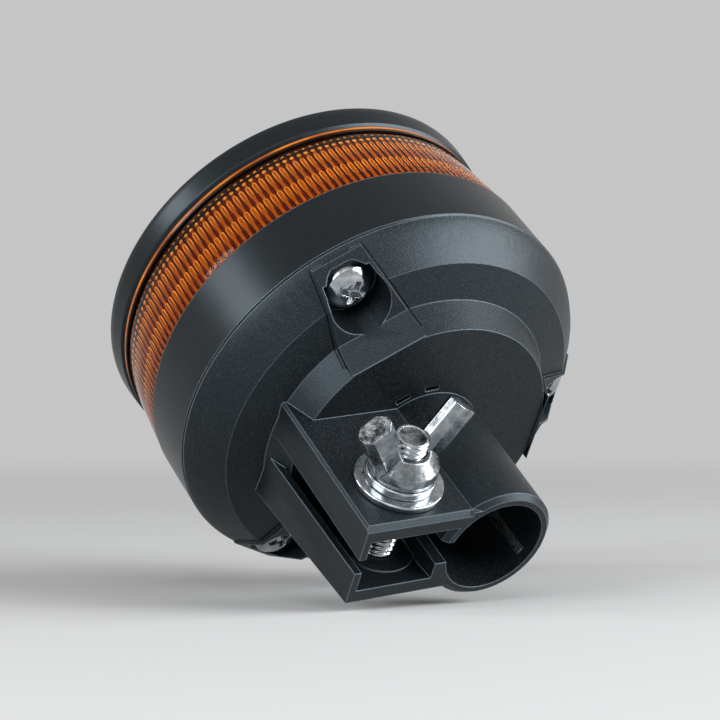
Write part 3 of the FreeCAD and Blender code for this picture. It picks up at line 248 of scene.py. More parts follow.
@dataclass(frozen=True)
class TabGrooves:
    """Shadow gaps beside the three screw tabs, which the mould's inserts leave.

    Attributes:
        start: Radius at which a groove starts, on the tab's middle line.
        end: Radius at which it ends.
        start_width: Width of the tab at its start.
        end_width: Width of the tab at its end.
        width: Width of a groove.
        depth: Its depth.
        shade: Colour of its shadow.
        darkness: Share of that colour at its bottom.
    """

    start: float = 33.3
    end: float = 51.0
    start_width: float = 19.8
    end_width: float = 13.1
    width: float = 0.75
    depth: float = 0.5
    shade: str = "#020203"
    darkness: float = 0.8

    def share(self, tree: NodeTree) -> Node:
        """Adds the depth of groove at a point, from 0 to 1.

        The point's turn is folded into one third of a circle, so that x runs
        along a tab's middle and y across it. The groove is where |y| lies within
        half its width of start_width / 2 + (x - start) * slope, for x from start
        to end.

        Args:
            tree: Node tree of the material.

        Returns:
            The share.
        """
        place = add_node(tree, "SeparateXYZ", add_node(tree, "TexCoord").outputs["Object"])
        x, y, _ = place.outputs
        third = 2 * math.pi / 3
        turn = add_node(tree, "Math", y, x, operation="ARCTAN2")
        for step, number in (("ADD", third * 1.5), ("FLOORED_MODULO", third),
                             ("SUBTRACT", third / 2)):
            turn = add_node(tree, "Math", turn, number, operation=step)
        radius = add_node(tree, "VectorMath", add_node(tree, "CombineXYZ", x, y),
                          operation="LENGTH")
        along, across = (
            add_node(tree, "Math", add_node(tree, "Math", turn, operation=wave), radius,
                     operation="MULTIPLY") for wave in ("COSINE", "SINE"))
        across = add_node(tree, "Math", across, operation="ABSOLUTE")
        slope = (self.end_width - self.start_width) / 2 / (self.end - self.start)
        line = add_node(tree, "Math", along, slope,
                        (self.start_width / 2 - self.start * slope) * MM,
                        operation="MULTIPLY_ADD")
        away = add_node(tree, "Math", across, line, operation="SUBTRACT")
        away = add_node(tree, "Math", away, operation="ABSOLUTE")
        sunk = add_node(tree, "MapRange", away, self.width / 2 * MM, self.width / 5 * MM,
                        interpolation_type="SMOOTHSTEP")
        for limit, side in ((self.start, "GREATER_THAN"), (self.end, "LESS_THAN")):
            within = add_node(tree, "Math", along, limit * MM, operation=side)
            sunk = add_node(tree, "Math", sunk, within, operation="MULTIPLY")
        return sunk


@dataclass(frozen=True)
class MouldedPlastic(Finish):
    """Injection-moulded plastic: a base shade, slight flow and a surface grain.

    Attributes:
        shade: Main colour.
        flow: Colour of the faint flow patches.
        roughness: Middle roughness.
        grain_mm: Size of one grain of the mould's texture.
        grain_height_mm: Depth of that grain.
        ior: Refractive index.
        edge_mm: Radius of the edges that the mould leaves.
        edge_highlight: Colour of the painted highlight along the edges, if any.
        speck_shade: Colour of the grain's lit tips, if they show.
        grooves: Shadow gaps of the surface, if it has any.
        sheen_tint: Tint of what the surface mirrors.
        patch_mm: Size of the flow patches.
    """

    shade: str
    flow: str
    roughness: float
    grain_mm: float = 0.35
    grain_height_mm: float = 0.01
    ior: float = 1.54
    edge_mm: float = 0.3
    edge_highlight: str = ""
    speck_shade: str = ""
    grooves: TabGrooves | None = None
    sheen_tint: str = "#FFFFFF"
    patch_mm: float = 9.0

    def shader(self, tree: NodeTree) -> Node:
        """Adds the plastic, whose edges carry a painted highlight and are smoother by 0.12.

        Args:
            tree: Node tree of the material.

        Returns:
            The shader.
        """
        patches = mottle(tree, self.patch_mm)
        grain = mottle(tree, self.grain_mm, 1.5)
        rounded, edge = edge_rounding_and_highlight(tree, self.edge_mm)
        layers = [(add_node(tree, "MapRange", patches, NOISE_LOW, NOISE_HIGH), self.flow)]
        if self.speck_shade:
            layers.append((add_node(tree, "MapRange", grain, 0.5, 0.72), self.speck_shade))
        # Painted highlight: the edges are laid over in a lighter colour.
        layers.append((edge, self.edge_highlight or self.shade))
        height = add_node(tree, "Math", grain, self.grain_height_mm * MM, operation="MULTIPLY")
        if self.grooves:
            sunk = self.grooves.share(tree)
            dark = add_node(tree, "Math", sunk, self.grooves.darkness, operation="MULTIPLY")
            layers.append((dark, self.grooves.shade))
            height = add_node(tree, "Math", sunk, -self.grooves.depth * MM, height,
                              operation="MULTIPLY_ADD")
        rough = add_node(tree, "MapRange", grain, NOISE_LOW, NOISE_HIGH,
                         self.roughness - 0.02, self.roughness + 0.03)
        rough = add_node(tree, "Math", edge, -0.12, rough, operation="MULTIPLY_ADD")
        return opaque(tree, layered(tree, self.shade, layers), rough, height, rounded,
                      IOR=self.ior, Specular_Tint=linear(self.sheen_tint))


@dataclass(frozen=True)
class Metal(Finish):
    """Plated, drawn or pressed metal with fine marks.

    Attributes:
        shade: Colour of the clean metal.
        dull: Colour of its duller patches.
        roughness: Middle roughness.
        mark_mm: Size of the marks.
        mark_height_mm: Depth of the marks.
        stretch: Factors on X, Y and Z, for marks that run one way.
        edge_mm: Radius of its rounded edges.
        wave_mm: Depth of its slow waves.
        patch_mm: Size of its duller patches and of its waves.
        edge_highlight: Colour of the painted highlight along its edges.
    """

    shade: str
    dull: str
    roughness: float
    mark_mm: float = 0.5
    mark_height_mm: float = 0.004
    stretch: Triple = (1, 1, 1)
    edge_mm: float = 0.15
    wave_mm: float = 0.0
    patch_mm: float = 2.5
    edge_highlight: str = "#EEF1F3"

    def shader(self, tree: NodeTree) -> Node:
        """Adds the metal, rougher where its marks are.

        Args:
            tree: Node tree of the material.

        Returns:
            The shader.
        """
        patches = mottle(tree, self.patch_mm, 3)
        marks = mottle(tree, self.mark_mm, 3, self.stretch)
        rounded, edge = edge_rounding_and_highlight(tree, self.edge_mm)
        height = add_node(tree, "Math", marks, self.mark_height_mm * MM, operation="MULTIPLY")
        height = add_node(tree, "Math", patches, self.wave_mm * MM, height,
                          operation="MULTIPLY_ADD")
        dulled = add_node(tree, "MapRange", patches, NOISE_LOW, NOISE_HIGH)
        # Painted highlight: the edges are laid over in a near-white colour.
        colour = layered(tree, self.shade, [(dulled, self.dull), (edge, self.edge_highlight)])
        rough = add_node(tree, "MapRange", marks, NOISE_LOW, NOISE_HIGH,
                         self.roughness * 0.75, self.roughness * 1.3)
        return opaque(tree, colour, rough, height, rounded, Metallic=1.0)


@dataclass(frozen=True)
class ClearPlastic(Finish):
    """Transparent moulded plastic, tinted or clear.

    Attributes:
        tint: Colour that light takes on its way through a surface.
        roughness: Roughness of the polished mould.
        ior: Refractive index.
        gloss: Share of the mirrored light, where 0.5 is clean plastic.
        ripple_mm: Length of the faint ripples of the moulding.
        ripple_height_mm: Their depth.
    """

    tint: str
    roughness: float
    ior: float
    gloss: float = 0.5
    ripple_mm: float = 6.0
    ripple_height_mm: float = 0.02

    def shader(self, tree: NodeTree) -> Node:
        """Adds the clear plastic with its faint ripples.

        Args:
            tree: Node tree of the material.

        Returns:
            The shader.
        """
        ripple = mottle(tree, self.ripple_mm, 1)
        bump = add_node(tree, "Bump", named={
            "Strength": 1.0, "Distance": self.ripple_height_mm * MM, "Height": ripple})
        rough = add_node(tree, "MapRange", ripple, NOISE_LOW, NOISE_HIGH,
                         self.roughness, self.roughness + 0.02)
        return add_node(tree, "BsdfPrincipled", linear(self.tint), named={
            "IOR": self.ior, "Transmission Weight": 1.0, "Roughness": rough,
            "Specular IOR Level": self.gloss, "Normal": bump})


@dataclass(frozen=True)
class FlutedAmber(Finish):
    """Inside of the amber lens: flutes, their round ends and the arches behind.

    The lines that each flute's refraction draws are finer than a pixel's light
    can be traced, so they are drawn as colour on the fluted wall: painted light
    and painted shade, with painted highlights on the flutes' ends and arches.

    Attributes:
        flutes: Number of flutes.
        radius: Radius of the fluted wall.
        golden: Colour of a flute's middle.
        deep: Colour of its sides, painted shade of the refraction.
        dark: Painted shade beside the crest between two flutes.
        crest: Colour of the crest itself, a painted refraction line.
        bright: Painted highlight of the ends and of the arches.
        knob_level: Height of the flutes' round ends.
        second_level: Height of the arches just under them.
        arch_level: Height of the lower arches' tops.
        line: Width of a fine line.
    """

    flutes: int = 165
    radius: float = 47.2
    golden: str = "#A25A08"
    deep: str = "#602A00"
    dark: str = "#120400"
    crest: str = "#B43E16"
    bright: str = "#FFB848"
    knob_level: float = 91.1
    second_level: float = 89.1
    arch_level: float = 82.6
    line: float = 0.16

    def arch(self, tree: NodeTree, across: Node, height: Node,
             level: float, reach: float, filled: bool) -> list[tuple[Node, str]]:
        """Adds an arch or, filled, a round knob in every flute.

        With x the place across the flute and z the height over the arch's
        middle, which counts as 0 under an arch, its line is at
        sqrt(x^2 + z^2) = reach. Its legs fade out 1 to 4 mm below.

        Args:
            tree: Node tree of the material.
            across: Place across the flute in millimetres.
            height: Height in millimetres.
            level: Height of the arch's middle.
            reach: Radius of the arch.
            filled: Whether it is a disc and not a line.

        Returns:
            Share and colour of its painted shadow outline and of its painted highlight.
        """
        over = add_node(tree, "Math", height, level, operation="SUBTRACT")
        if not filled:
            over = add_node(tree, "Math", over, 0.0, operation="MAXIMUM")
        away = add_node(tree, "VectorMath", add_node(tree, "CombineXYZ", across, over),
                        operation="LENGTH")
        rim = add_node(tree, "Math", away, reach, operation="SUBTRACT")
        rim = add_node(tree, "Math", rim, operation="ABSOLUTE")
        shadow = add_node(tree, "MapRange", rim, self.line, self.line * 2, 0.9, 0)
        light = add_node(tree, "MapRange", rim, self.line * 0.4, self.line, 1, 0)
        if filled:
            light = add_node(tree, "MapRange", away, reach - self.line, reach, 1, 0)
        shown = add_node(tree, "Math", add_node(tree, "MapRange", height, level - 4, level - 1),
                         add_node(tree, "MapRange", height, level + 1, level + 1.4, 1, 0),
                         operation="MULTIPLY")
        return [(add_node(tree, "Math", part, shown, operation="MULTIPLY"), colour)
                for part, colour in ((shadow, self.dark), (light, self.bright))]

    def shader(self, tree: NodeTree) -> Node:
        """Adds the fluted wall.

        With w the flute's width and x the distance from its middle, the
        wall turns deep from 0.1 w to 0.3 w, dark from 0.28 w to 0.34 w and
        takes the crest's colour from 0.44 w, as painted shade of the refraction.
        The arches lie over that, and painted shade darkens it above the knobs.

        Args:
            tree: Node tree of the material.

        Returns:
            The shader.
        """
        width = 2 * math.pi * self.radius / self.flutes
        place = add_node(tree, "SeparateXYZ", add_node(tree, "TexCoord").outputs["Object"])
        x, y, z = place.outputs
        turn = add_node(tree, "Math", y, x, operation="ARCTAN2")
        for step, number in (("MULTIPLY", self.flutes / (2 * math.pi)), ("FLOORED_MODULO", 1)):
            turn = add_node(tree, "Math", turn, number, operation=step)
        across = add_node(tree, "Math", turn, width, -width / 2, operation="MULTIPLY_ADD")
        aside = add_node(tree, "Math", across, operation="ABSOLUTE")
        height = add_node(tree, "Math", z, 1 / MM, operation="MULTIPLY")
        layers = [
            (add_node(tree, "MapRange", aside, 0.1 * width, 0.3 * width), self.deep),
            (add_node(tree, "MapRange", aside, 0.28 * width, 0.34 * width), self.dark),
        ]
        for level, reach, filled in ((self.arch_level, 0.27, False),
                                     (self.second_level, 0.24, False),
                                     (self.knob_level, 0.33, True)):
            layers += self.arch(tree, across, height, level, reach * width, filled)
        # Painted shade above the knobs.
        layers.append((add_node(tree, "MapRange", height, self.knob_level + 0.5,
                                self.knob_level + 0.9, 0, 0.9), self.dark))
        layers.append((add_node(tree, "MapRange", aside, 0.44 * width, 0.46 * width), self.crest))
        return add_node(tree, "BsdfPrincipled", layered(tree, self.golden, layers),
                        named={"Roughness": 0.5, "Specular IOR Level": 0.0})


# Black ABS from a spark-eroded mould: matt, with a grain that catches the light.
# The real grain of about 0.1 mm is drawn at 0.3 mm, so that it shows.
# Its pits hold light back, so it mirrors less than smooth plastic does, and
# what it mirrors has a cool cast.
GRAINED_ABS = MouldedPlastic("black_abs_eroded", "#08090B", "#0C0D0F", 0.4, 0.3, 0.045, 1.44,
                             0.35, "#68757E", "#2A3136", TabGrooves(), "#D4ECFA")
# Black ABS from a finer mould: satin, so that it mirrors a light softly.
SATIN_ABS = MouldedPlastic("black_abs_satin", "#070809", "#0A0B0C", 0.3, 0.4, 0.008, 1.44,
                           0.35, "#68757E", "#14171A", None, "#D4ECFA")
# Amber polycarbonate from a polished mould, clear on its outside. It mirrors
# less than clean polycarbonate, as its skin is slightly weathered.
AMBER_LENS = ClearPlastic("amber_polycarbonate", "#FFD090", 0.05, 1.2, gloss=0.15)
# The fluted inside catches the light: golden in the flutes, dark between them.
AMBER_FLUTES = FlutedAmber("amber_polycarbonate_fluted")
# The flange scatters light at its cut rim.
AMBER_FLANGE = MouldedPlastic("amber_polycarbonate_rim", "#D87A1C", "#9A4A0E", 0.18, 2.0, 0.01,
                              1.35)
# The neck carries painted shade: the gap under the flange is deep and shaded, and the cap's black
# collar lies behind it.
AMBER_NECK_PAINTED_SHADE = MouldedPlastic("amber_polycarbonate_neck_painted_shade", "#1A0B03", "#120702", 0.2, 2.0, 0.004,
                            1.3)
# Clear acrylic light guide.
CLEAR_OPTIC = ClearPlastic("clear_acrylic", "#F4F6F6", 0.03, 1.49)
# Bright zinc plating over cold-headed steel: pale, with soft mottling.
BRIGHT_ZINC = Metal("bright_zinc_steel", "#BCC1C5", "#9BA0A4", 0.15, 0.8, 0.008, wave_mm=0.06)
# Where the nut's wings were cut from their flash, the zinc lies over torn steel.
TORN_ZINC = Metal("torn_zinc_steel", "#A0A5A9", "#2A2E31", 0.3, 0.3, 0.2, wave_mm=0.3)
# The forged nut is a little duller than the turned and pressed pieces.
FORGED_ZINC = Metal("forged_zinc_steel", "#9FA4A8", "#72787C", 0.24, 0.9, 0.01, wave_mm=0.05)
# Drawn spring wire: a soft grey gloss with fine marks.
SPRING_STEEL = Metal("spring_steel", "#A9ABAD", "#8E9194", 0.3, 0.3, 0.003)

# The finish of each of the record's slots. What lies inside is plain stock.
SLOT_FINISHES = {
    "housing_black": GRAINED_ABS,
    "lens_amber": AMBER_LENS,
    "optic_clear": CLEAR_OPTIC,
    "zinc_steel": BRIGHT_ZINC,
    "spring_steel": SPRING_STEEL,
    "contact_brass": Metal("contact_brass", "#D8B46A", "#C09A52", 0.28, 0.4, 0.003),
    "sink_aluminium": Metal("rolled_aluminium", "#C9CBCC", "#B4B7B9", 0.38, 0.25, 0.004,
                            (1, 14, 1)),
    "capacitor_can": Metal("can_aluminium", "#C4C8CC", "#AEB3B8", 0.3, 0.2, 0.003),
    "seal_rubber": MouldedPlastic("seal_rubber", "#141414", "#1A1A1A", 0.75, 0.5, 0.02, 1.52),
    "carrier_nylon": MouldedPlastic("carrier_nylon", "#D6D2C4", "#CBC7B8", 0.45, 0.4, 0.008, 1.53),
    "board_green": MouldedPlastic("board_solder_mask", "#1E5A36", "#1A4F2F", 0.32, 1.2, 0.006,
                                  1.5),
    "board_white": MouldedPlastic("board_white_mask", "#E9E9E4", "#DFDFD8", 0.4, 1.0, 0.006, 1.5),
    "pad_grey": MouldedPlastic("thermal_silicone", "#8E9296", "#83878B", 0.7, 0.5, 0.015, 1.41),
    "component_black": MouldedPlastic("component_epoxy", "#202022", "#19191B", 0.55, 0.25, 0.01,
                                      1.55),
    "led_ceramic": MouldedPlastic("led_ceramic", "#F0E6B4", "#EADF9E", 0.25, 0.3, 0.004, 1.45),
    "terminal_blue": MouldedPlastic("terminal_nylon_blue", "#2C5F9E", "#285690", 0.4, 0.4, 0.006,
                                    1.53),
    "lead_red": MouldedPlastic("lead_pvc_red", "#A32020", "#961C1C", 0.45, 0.5, 0.008, 1.53),
    "lead_brown": MouldedPlastic("lead_pvc_brown", "#5A3A22", "#51341E", 0.45, 0.5, 0.008, 1.53),
}


def soft_outline(corners: np.ndarray, rounding: float | np.ndarray, steps: int = 4,
                 closed: bool = True) -> np.ndarray:
    """Rounds the corners of an outline.

    A corner C between neighbours A and B becomes the parabola
    (1-t)^2 P + 2 t (1-t) C + t^2 Q, where P and Q lie on its two sides at the
    rounding's distance from it, or at 0.45 of the side where that is less.

    Args:
        corners: Points (radius, height), in order, as an n by 2 array.
        rounding: Distance from a corner at which its curve starts, one for
            all the corners or one for each.
        steps: Spans of each curve.
        closed: Whether the last point joins the first. The ends of an open
            outline stay sharp.

    Returns:
        The rounded outline as an array of points.
    """
    wanted = np.broadcast_to(rounding, len(corners))[:, None]
    before = np.roll(corners, 1, axis=0) - corners
    after = np.roll(corners, -1, axis=0) - corners
    reach_before = np.linalg.norm(before, axis=1, keepdims=True)
    reach_after = np.linalg.norm(after, axis=1, keepdims=True)
    start = corners + before / reach_before * np.minimum(wanted, 0.45 * reach_before)
    end = corners + after / reach_after * np.minimum(wanted, 0.45 * reach_after)
    t = np.linspace(0, 1, steps + 1)[None, :, None]
    curve = ((1 - t) ** 2 * start[:, None] + 2 * t * (1 - t) * corners[:, None]
             + t ** 2 * end[:, None])
    if closed:
        return curve.reshape(-1, 2)
    return np.concatenate([corners[:1], curve[1:-1].reshape(-1, 2), corners[-1:]])


def wound(outline: np.ndarray, columns: int) -> Shape:
    """Repeats an outline's points round the axis.

    Args:
        outline: Points (radius, height).
        columns: How many times.

    Returns:
        Radius and height, each by row and column.
    """
    radius, height = np.repeat(outline.T[:, :, None], columns, axis=2)
    return radius, height


def turned(radius: np.ndarray, height: np.ndarray, loop_rows: bool) -> Shape:
    """Surface of revolution about Z, also with a radius that varies round it.

    A point of row i and column j is (r cos a, r sin a, z), where
    a = 2 pi j / columns and r and z are the arrays' values there. A quad
    joins each point with its neighbours in the next row and column.

    Args:
        radius: Radius by row and column.
        height: Height by row and column.
        loop_rows: Whether the outline is closed.

    Returns:
        Points in millimetres and quads.
    """
    rows, columns = radius.shape
    angle = np.linspace(0, 2 * math.pi, columns, endpoint=False)[None, :]
    points = np.stack([radius * np.cos(angle), radius * np.sin(angle), height], axis=-1)
    i = np.arange(rows if loop_rows else rows - 1)[:, None]
    j = np.arange(columns)[None, :]
    up, right = (i + 1) % rows, (j + 1) % columns
    quads = [i * columns + j, i * columns + right, up * columns + right, up * columns + j]
    faces = np.stack(np.broadcast_arrays(*quads), axis=-1)
    return points.reshape(-1, 3), faces.reshape(-1, 4)


def laid_along_bolt(points: np.ndarray, origin: Triple) -> np.ndarray:
    """Turns a piece's own Z towards the nut's side, which is -Y, and moves it.

    Args:
        points: Points (x, y, z) in the piece's own millimetres, which
            become (x, -z, y).
        origin: Place of the piece's origin.

    Returns:
        Points in the frame's millimetres.
    """
    x, y, z = points.T
    return np.stack([x, -z, y], axis=-1) + np.array(origin)


def weld(mesh: Mesh, flatten_degrees: float) -> None:
    """Joins points that coincide and turns every face outwards.

    Args:
        mesh: Mesh to mend.
        flatten_degrees: Faces that meet at less than this become one.
    """
    work = bmesh.new()
    work.from_mesh(mesh)
    bmesh.ops.remove_doubles(work, verts=work.verts, dist=WELD_DISTANCE)
    bmesh.ops.dissolve_degenerate(work, edges=work.edges, dist=WELD_DISTANCE)
    if flatten_degrees:
        bmesh.ops.dissolve_limit(work, angle_limit=math.radians(flatten_degrees),
                                 verts=work.verts, edges=work.edges,
                                 use_dissolve_boundaries=False)
    bmesh.ops.recalc_face_normals(work, faces=work.faces)
    work.to_mesh(mesh)
    work.free()


def make_piece(name: str, points: np.ndarray, faces: np.ndarray, finish: Material,
               smooth_angle: float, flatten_degrees: float = 0.0) -> Object:
    """Puts points and faces into a new object.

    Args:
        name: Name of the piece.
        points: Points in millimetres.
        faces: Vertex numbers per face.
        finish: Its material.
        smooth_angle: Edges sharper than this stay sharp, in degrees.
        flatten_degrees: Faces that meet at less than this become one.

    Returns:
        The object, linked to the scene.
    """
    mesh = bpy.data.meshes.new(name)
    mesh.from_pydata((points * MM).tolist(), [], faces.tolist())
    weld(mesh, flatten_degrees)
    mesh.shade_smooth()
    mesh.set_sharp_from_angle(angle=math.radians(smooth_angle))
    mesh.materials.append(finish)
    piece = bpy.data.objects.new(name, mesh)
    bpy.context.scene.collection.objects.link(piece)
    return piece


def numbers_of(items: bpy_prop_collection, attribute: str) -> np.ndarray:
    """Gives a vector attribute of a mesh's points or faces as an n by 3 array.

    Args:
        items: The mesh's points or faces.
        attribute: Name of the attribute.

    Returns:
        One row of three numbers for each.
    """
    numbers = np.empty(len(items) * 3)
    items.foreach_get(attribute, numbers)
    return numbers.reshape(-1, 3)


def welded_copy(node: str, name: str, finish: Material,
                flatten_degrees: float = 0.6) -> Object:
    """Copies a node's solid and welds its loose triangles.

    Args:
        node: Name of the node.
        name: Name of the new piece.
        finish: Its material.
        flatten_degrees: Faces that meet at less than this become one.

    Returns:
        The new piece.
    """
    source = frame["nodes"][node].data
    corners = np.empty(len(source.polygons) * 3, dtype=np.int64)
    source.polygons.foreach_get("vertices", corners)
    return make_piece(name, numbers_of(source.vertices, "co") / MM, corners.reshape(-1, 3),
                      finish, FOLD_DEGREES, flatten_degrees)


def round_edges(piece: Object, width_mm: float) -> None:
    """Rounds a piece's sharp edges.

    Args:
        piece: The piece.
        width_mm: Width of its rounded edges.
    """
    rounding = piece.modifiers.new("rounded edges", "BEVEL")
    rounding.width = width_mm * MM
    rounding.segments = 3
    rounding.limit_method = "ANGLE"
    rounding.angle_limit = math.radians(FOLD_DEGREES)
    rounding.harden_normals = True


def forge(piece: Object, grain_mm: float, passes: int) -> None:
    """Melts a piece's edges and inner corners together, as a hot forging's are.

    The mesh is laid out again in even squares and each point is moved half
    way to the middle of its neighbours, as many times as asked.

    Args:
        piece: The piece, a closed mesh.
        grain_mm: Side of a square in millimetres.
        passes: How many times the points move.
    """
    squares = piece.modifiers.new("even squares", "REMESH")
    squares.mode = "VOXEL"
    squares.voxel_size = grain_mm * MM
    squares.use_smooth_shade = True
    relaxed = piece.modifiers.new("relaxed", "SMOOTH")
    relaxed.factor = 0.5
    relaxed.iterations = passes
    graph = bpy.context.evaluated_depsgraph_get()
    finished = bpy.data.meshes.new_from_object(piece.evaluated_get(graph))
    finished.name = piece.name
    piece.modifiers.clear()
    piece.data = finished


def settle(piece: Object, node: str, body: Body) -> None:
    """Puts a finished piece in its node's place, ties it to its body and reports it.

    Args:
        piece: The piece.
        node: Name of the node that it stands for.
        body: Body that it rides on.
    """
    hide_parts(node)
    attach(piece, body.value)
    LOG.info("%s: %d points, rides on %s", piece.name, len(piece.data.vertices), body.value)


@dataclass
class Finishes:
    """Builds each finish once and keeps its material.

    Attributes:
        made: Materials by the name of their finish.
    """

    made: dict[str, Material] = field(default_factory=dict)

    def of(self, finish: Finish) -> Material:
        """Gives the material of a finish, built when it is first asked for.

        Args:
            finish: The finish.

        Returns:
            Its material.
        """
        if finish.name not in self.made:
            self.made[finish.name] = finish.material()
        return self.made[finish.name]

    def dress_nodes(self) -> None:
        """Gives every node of the frame its slot's finish."""
        slots = {entry["node"]: entry["material_slot"] for entry in frame["record"]["subparts"]}
        for name, node in frame["nodes"].items():
            finish = SLOT_FINISHES[slots[name]]
            node.data.materials.clear()
            node.data.materials.append(self.of(finish))
            LOG.info("%s: %s", name, finish.name)


@dataclass
class Lens:
    """Amber lens: smooth outside, 165 round flutes inside.

    Attributes:
        flutes: Number of flutes.
        crest: Radius of the sharp crests between them.
        depth: Depth of a flute.
        low: Lower end of the flutes.
        high: Upper end of the flutes.
        lip: Underside of the narrower mouth above them.
        rounding: Rounding of the moulded edges.
        between: Heights of the mesh rows between the flutes' ends.
        columns_per_flute: Mesh columns for one flute.
    """

    flutes: int = 165
    crest: float = 46.9
    depth: float = 0.7
    low: float = 74.2
    high: float = 92.0
    foot_radius: float = 51.9
    foot: float = 72.65
    shoulder_radius: float = 50.1
    shoulder: float = 91.4
    neck_radius: float = 48.9
    flange_radius: float = 50.2
    flange: float = 93.0
    top: float = 94.4
    mouth_radius: float = 45.6
    lip: float = 92.4
    rounding: float = 0.25
    between: Triple = (78, 81, 84)
    columns_per_flute: int = 8

    def outline(self) -> np.ndarray:
        """Outer outline with rounded corners, then the inner wall's many rows.

        Returns:
            Points (radius, height) of the closed outline.
        """
        outside = soft_outline(np.array([
            (self.crest, self.foot),
            (self.foot_radius, self.foot),
            (self.shoulder_radius, self.shoulder),
            (self.neck_radius, self.shoulder),
            (self.neck_radius, self.flange),
            (self.flange_radius, self.flange),
            (self.flange_radius, self.flange + 0.8),
            (self.flange_radius, self.top),
            (self.mouth_radius, self.top),
            (self.mouth_radius, self.lip),
            (self.crest, self.lip),
        ]), self.rounding, 3)
        ends = self.depth * (1 - np.cos(np.linspace(0, math.pi / 2, 6)))
        rows = np.concatenate([self.high - ends, self.between, (self.low + ends)[::-1]])
        inner = np.stack([np.full(len(rows), self.crest), np.sort(rows)[::-1]], axis=-1)
        return np.concatenate([outside, inner])

    def flute_radius(self, radius: np.ndarray, height: np.ndarray, columns: int) -> np.ndarray:
        """Inner wall's radius with its flutes.

        With s the place across a flute from -1 to 1, and e the distance from
        the nearer end over the depth, at most 1, the wall lies further out by
        depth * sqrt(1 - s^2) * sqrt(1 - (1 - e)^2).

        Args:
            radius: Radius by row and column, without flutes.
            height: Height by row and column.
            columns: Number of columns.

        Returns:
            The radius with the flutes.
        """
        turn = np.arange(columns) / columns * self.flutes
        across = 2 * (turn - np.floor(turn)) - 1
        end = np.minimum(self.high - height, height - self.low) / self.depth
        end = np.clip(end, 0, 1)
        inside = np.abs(radius - self.crest) < 1e-6
        sink = self.depth * np.sqrt(1 - across ** 2) * np.sqrt(1 - (1 - end) ** 2)
        return radius + np.where(inside, sink, 0)

    def build(self, finishes: Finishes) -> None:
        """Builds the lens, with a finish each for its outside, flutes, rim and painted-shade neck.

        Args:
            finishes: The finishes, built on demand.
        """
        columns = self.flutes * self.columns_per_flute
        radius, height = wound(self.outline(), columns)
        radius = self.flute_radius(radius, height, columns)
        piece = make_piece("amber_lens", *turned(radius, height, True),
                           finishes.of(AMBER_LENS), 40)
        for finish in (AMBER_FLUTES, AMBER_FLANGE, AMBER_NECK_PAINTED_SHADE):
            piece.data.materials.append(finishes.of(finish))
        x, y, level = numbers_of(piece.data.polygons, "center").T / MM
        away = np.hypot(x, y)
        # The foot's underside lies on the ring and shows through the wall.
        fluted = (away < self.crest + self.depth + 0.05) & (level < self.lip - 0.1)
        fluted |= level < self.foot + self.rounding
        rim = (level > self.flange + 0.4) & (away > self.flange_radius - 0.3)
        # The neck's faces take the painted shade.
        neck = (level > self.shoulder + 0.05) & (away > self.neck_radius - 0.05)
        shown = np.select([fluted, rim, neck], [1, 2, 3], 0)
        piece.data.polygons.foreach_set("material_index", shown.astype(np.int32))
        settle(piece, "lens", Body.HOUSING)


@dataclass
class OpticRing:
    """Clear ring of small light guides behind the lens.

    Each guide has a thick foot with an arched top and a slimmer upper part
    that ends in a second arch.

    Attributes:
        guides: Number of guides.
        outer: Outside of the feet.
        step: How far the upper part lies behind the foot.
        arch: Height of the feet's arches.
        drop: How far an arch falls from its middle to the guide's edge.
        swell: How far the outside falls back at the guide's edge.
    """

    guides: int = 165
    outer: float = 46.2
    foot: float = 73.6
    top: float = 86.8
    foot_width: float = 1.7
    top_width: float = 1.7
    reach: float = 10.0
    clear: float = 2.6
    step: float = 0.7
    arch: float = 81.5
    drop: float = 1.6
    swell: float = 0.45
    columns_per_guide: int = 8

    def outline(self) -> np.ndarray:
        """Closed outline: the outer wall's many rows, then top, slope and underside.

        Returns:
            Points (radius, height) of the closed outline.
        """
        inner = self.outer - self.reach
        spans = [self.foot + 0.3, self.arch - self.drop - 1.4]
        arched = np.linspace(self.arch - self.drop - 1.2, self.arch + 0.3, 12)
        upper = np.linspace(self.top - self.drop - 0.6, self.top - 0.05, 8)
        rows = np.concatenate([spans, arched, [self.arch + 1.0], upper])
        outside = np.stack([np.full(len(rows), self.outer), rows], axis=-1)
        rest = np.array([
            (self.outer - self.step - 0.3, self.top),
            (self.outer - self.top_width, self.top),
            (inner, self.foot + self.clear + self.foot_width / 4),
            (inner, self.foot + self.clear),
            (self.outer - self.foot_width, self.foot + self.clear),
            (self.outer - self.foot_width, self.foot),
            (self.outer - 0.3, self.foot),
        ])
        return np.concatenate([outside, rest])

    def build(self, finish: Material) -> None:
        """Builds the ring.

        With s the place across a guide from -1 to 1, the outside falls back by
        swell * s^2, and by step more above arch - drop * s^2. The rows near the
        top come down by drop * s^2 / 2.

        Args:
            finish: Material of the guides.
        """
        columns = self.guides * self.columns_per_guide
        turn = np.arange(columns) / columns * self.guides
        across = (2 * (turn - np.floor(turn)) - 1)[None, :] ** 2
        radius, height = wound(self.outline(), columns)
        outside = radius > self.outer - 0.01
        over = np.clip((height - (self.arch - self.drop * across)) / 0.35, 0, 1)
        radius = radius - np.where(outside, self.swell * across + self.step * over, 0)
        near_top = np.clip((height - (self.top - self.drop - 0.6)) / self.drop, 0, 1)
        height = height - np.where(outside, near_top * self.drop / 2 * across, 0)
        piece = make_piece("optic_guides", *turned(radius, height, True), finish, 40)
        settle(piece, "optic_ring", Body.HOUSING)


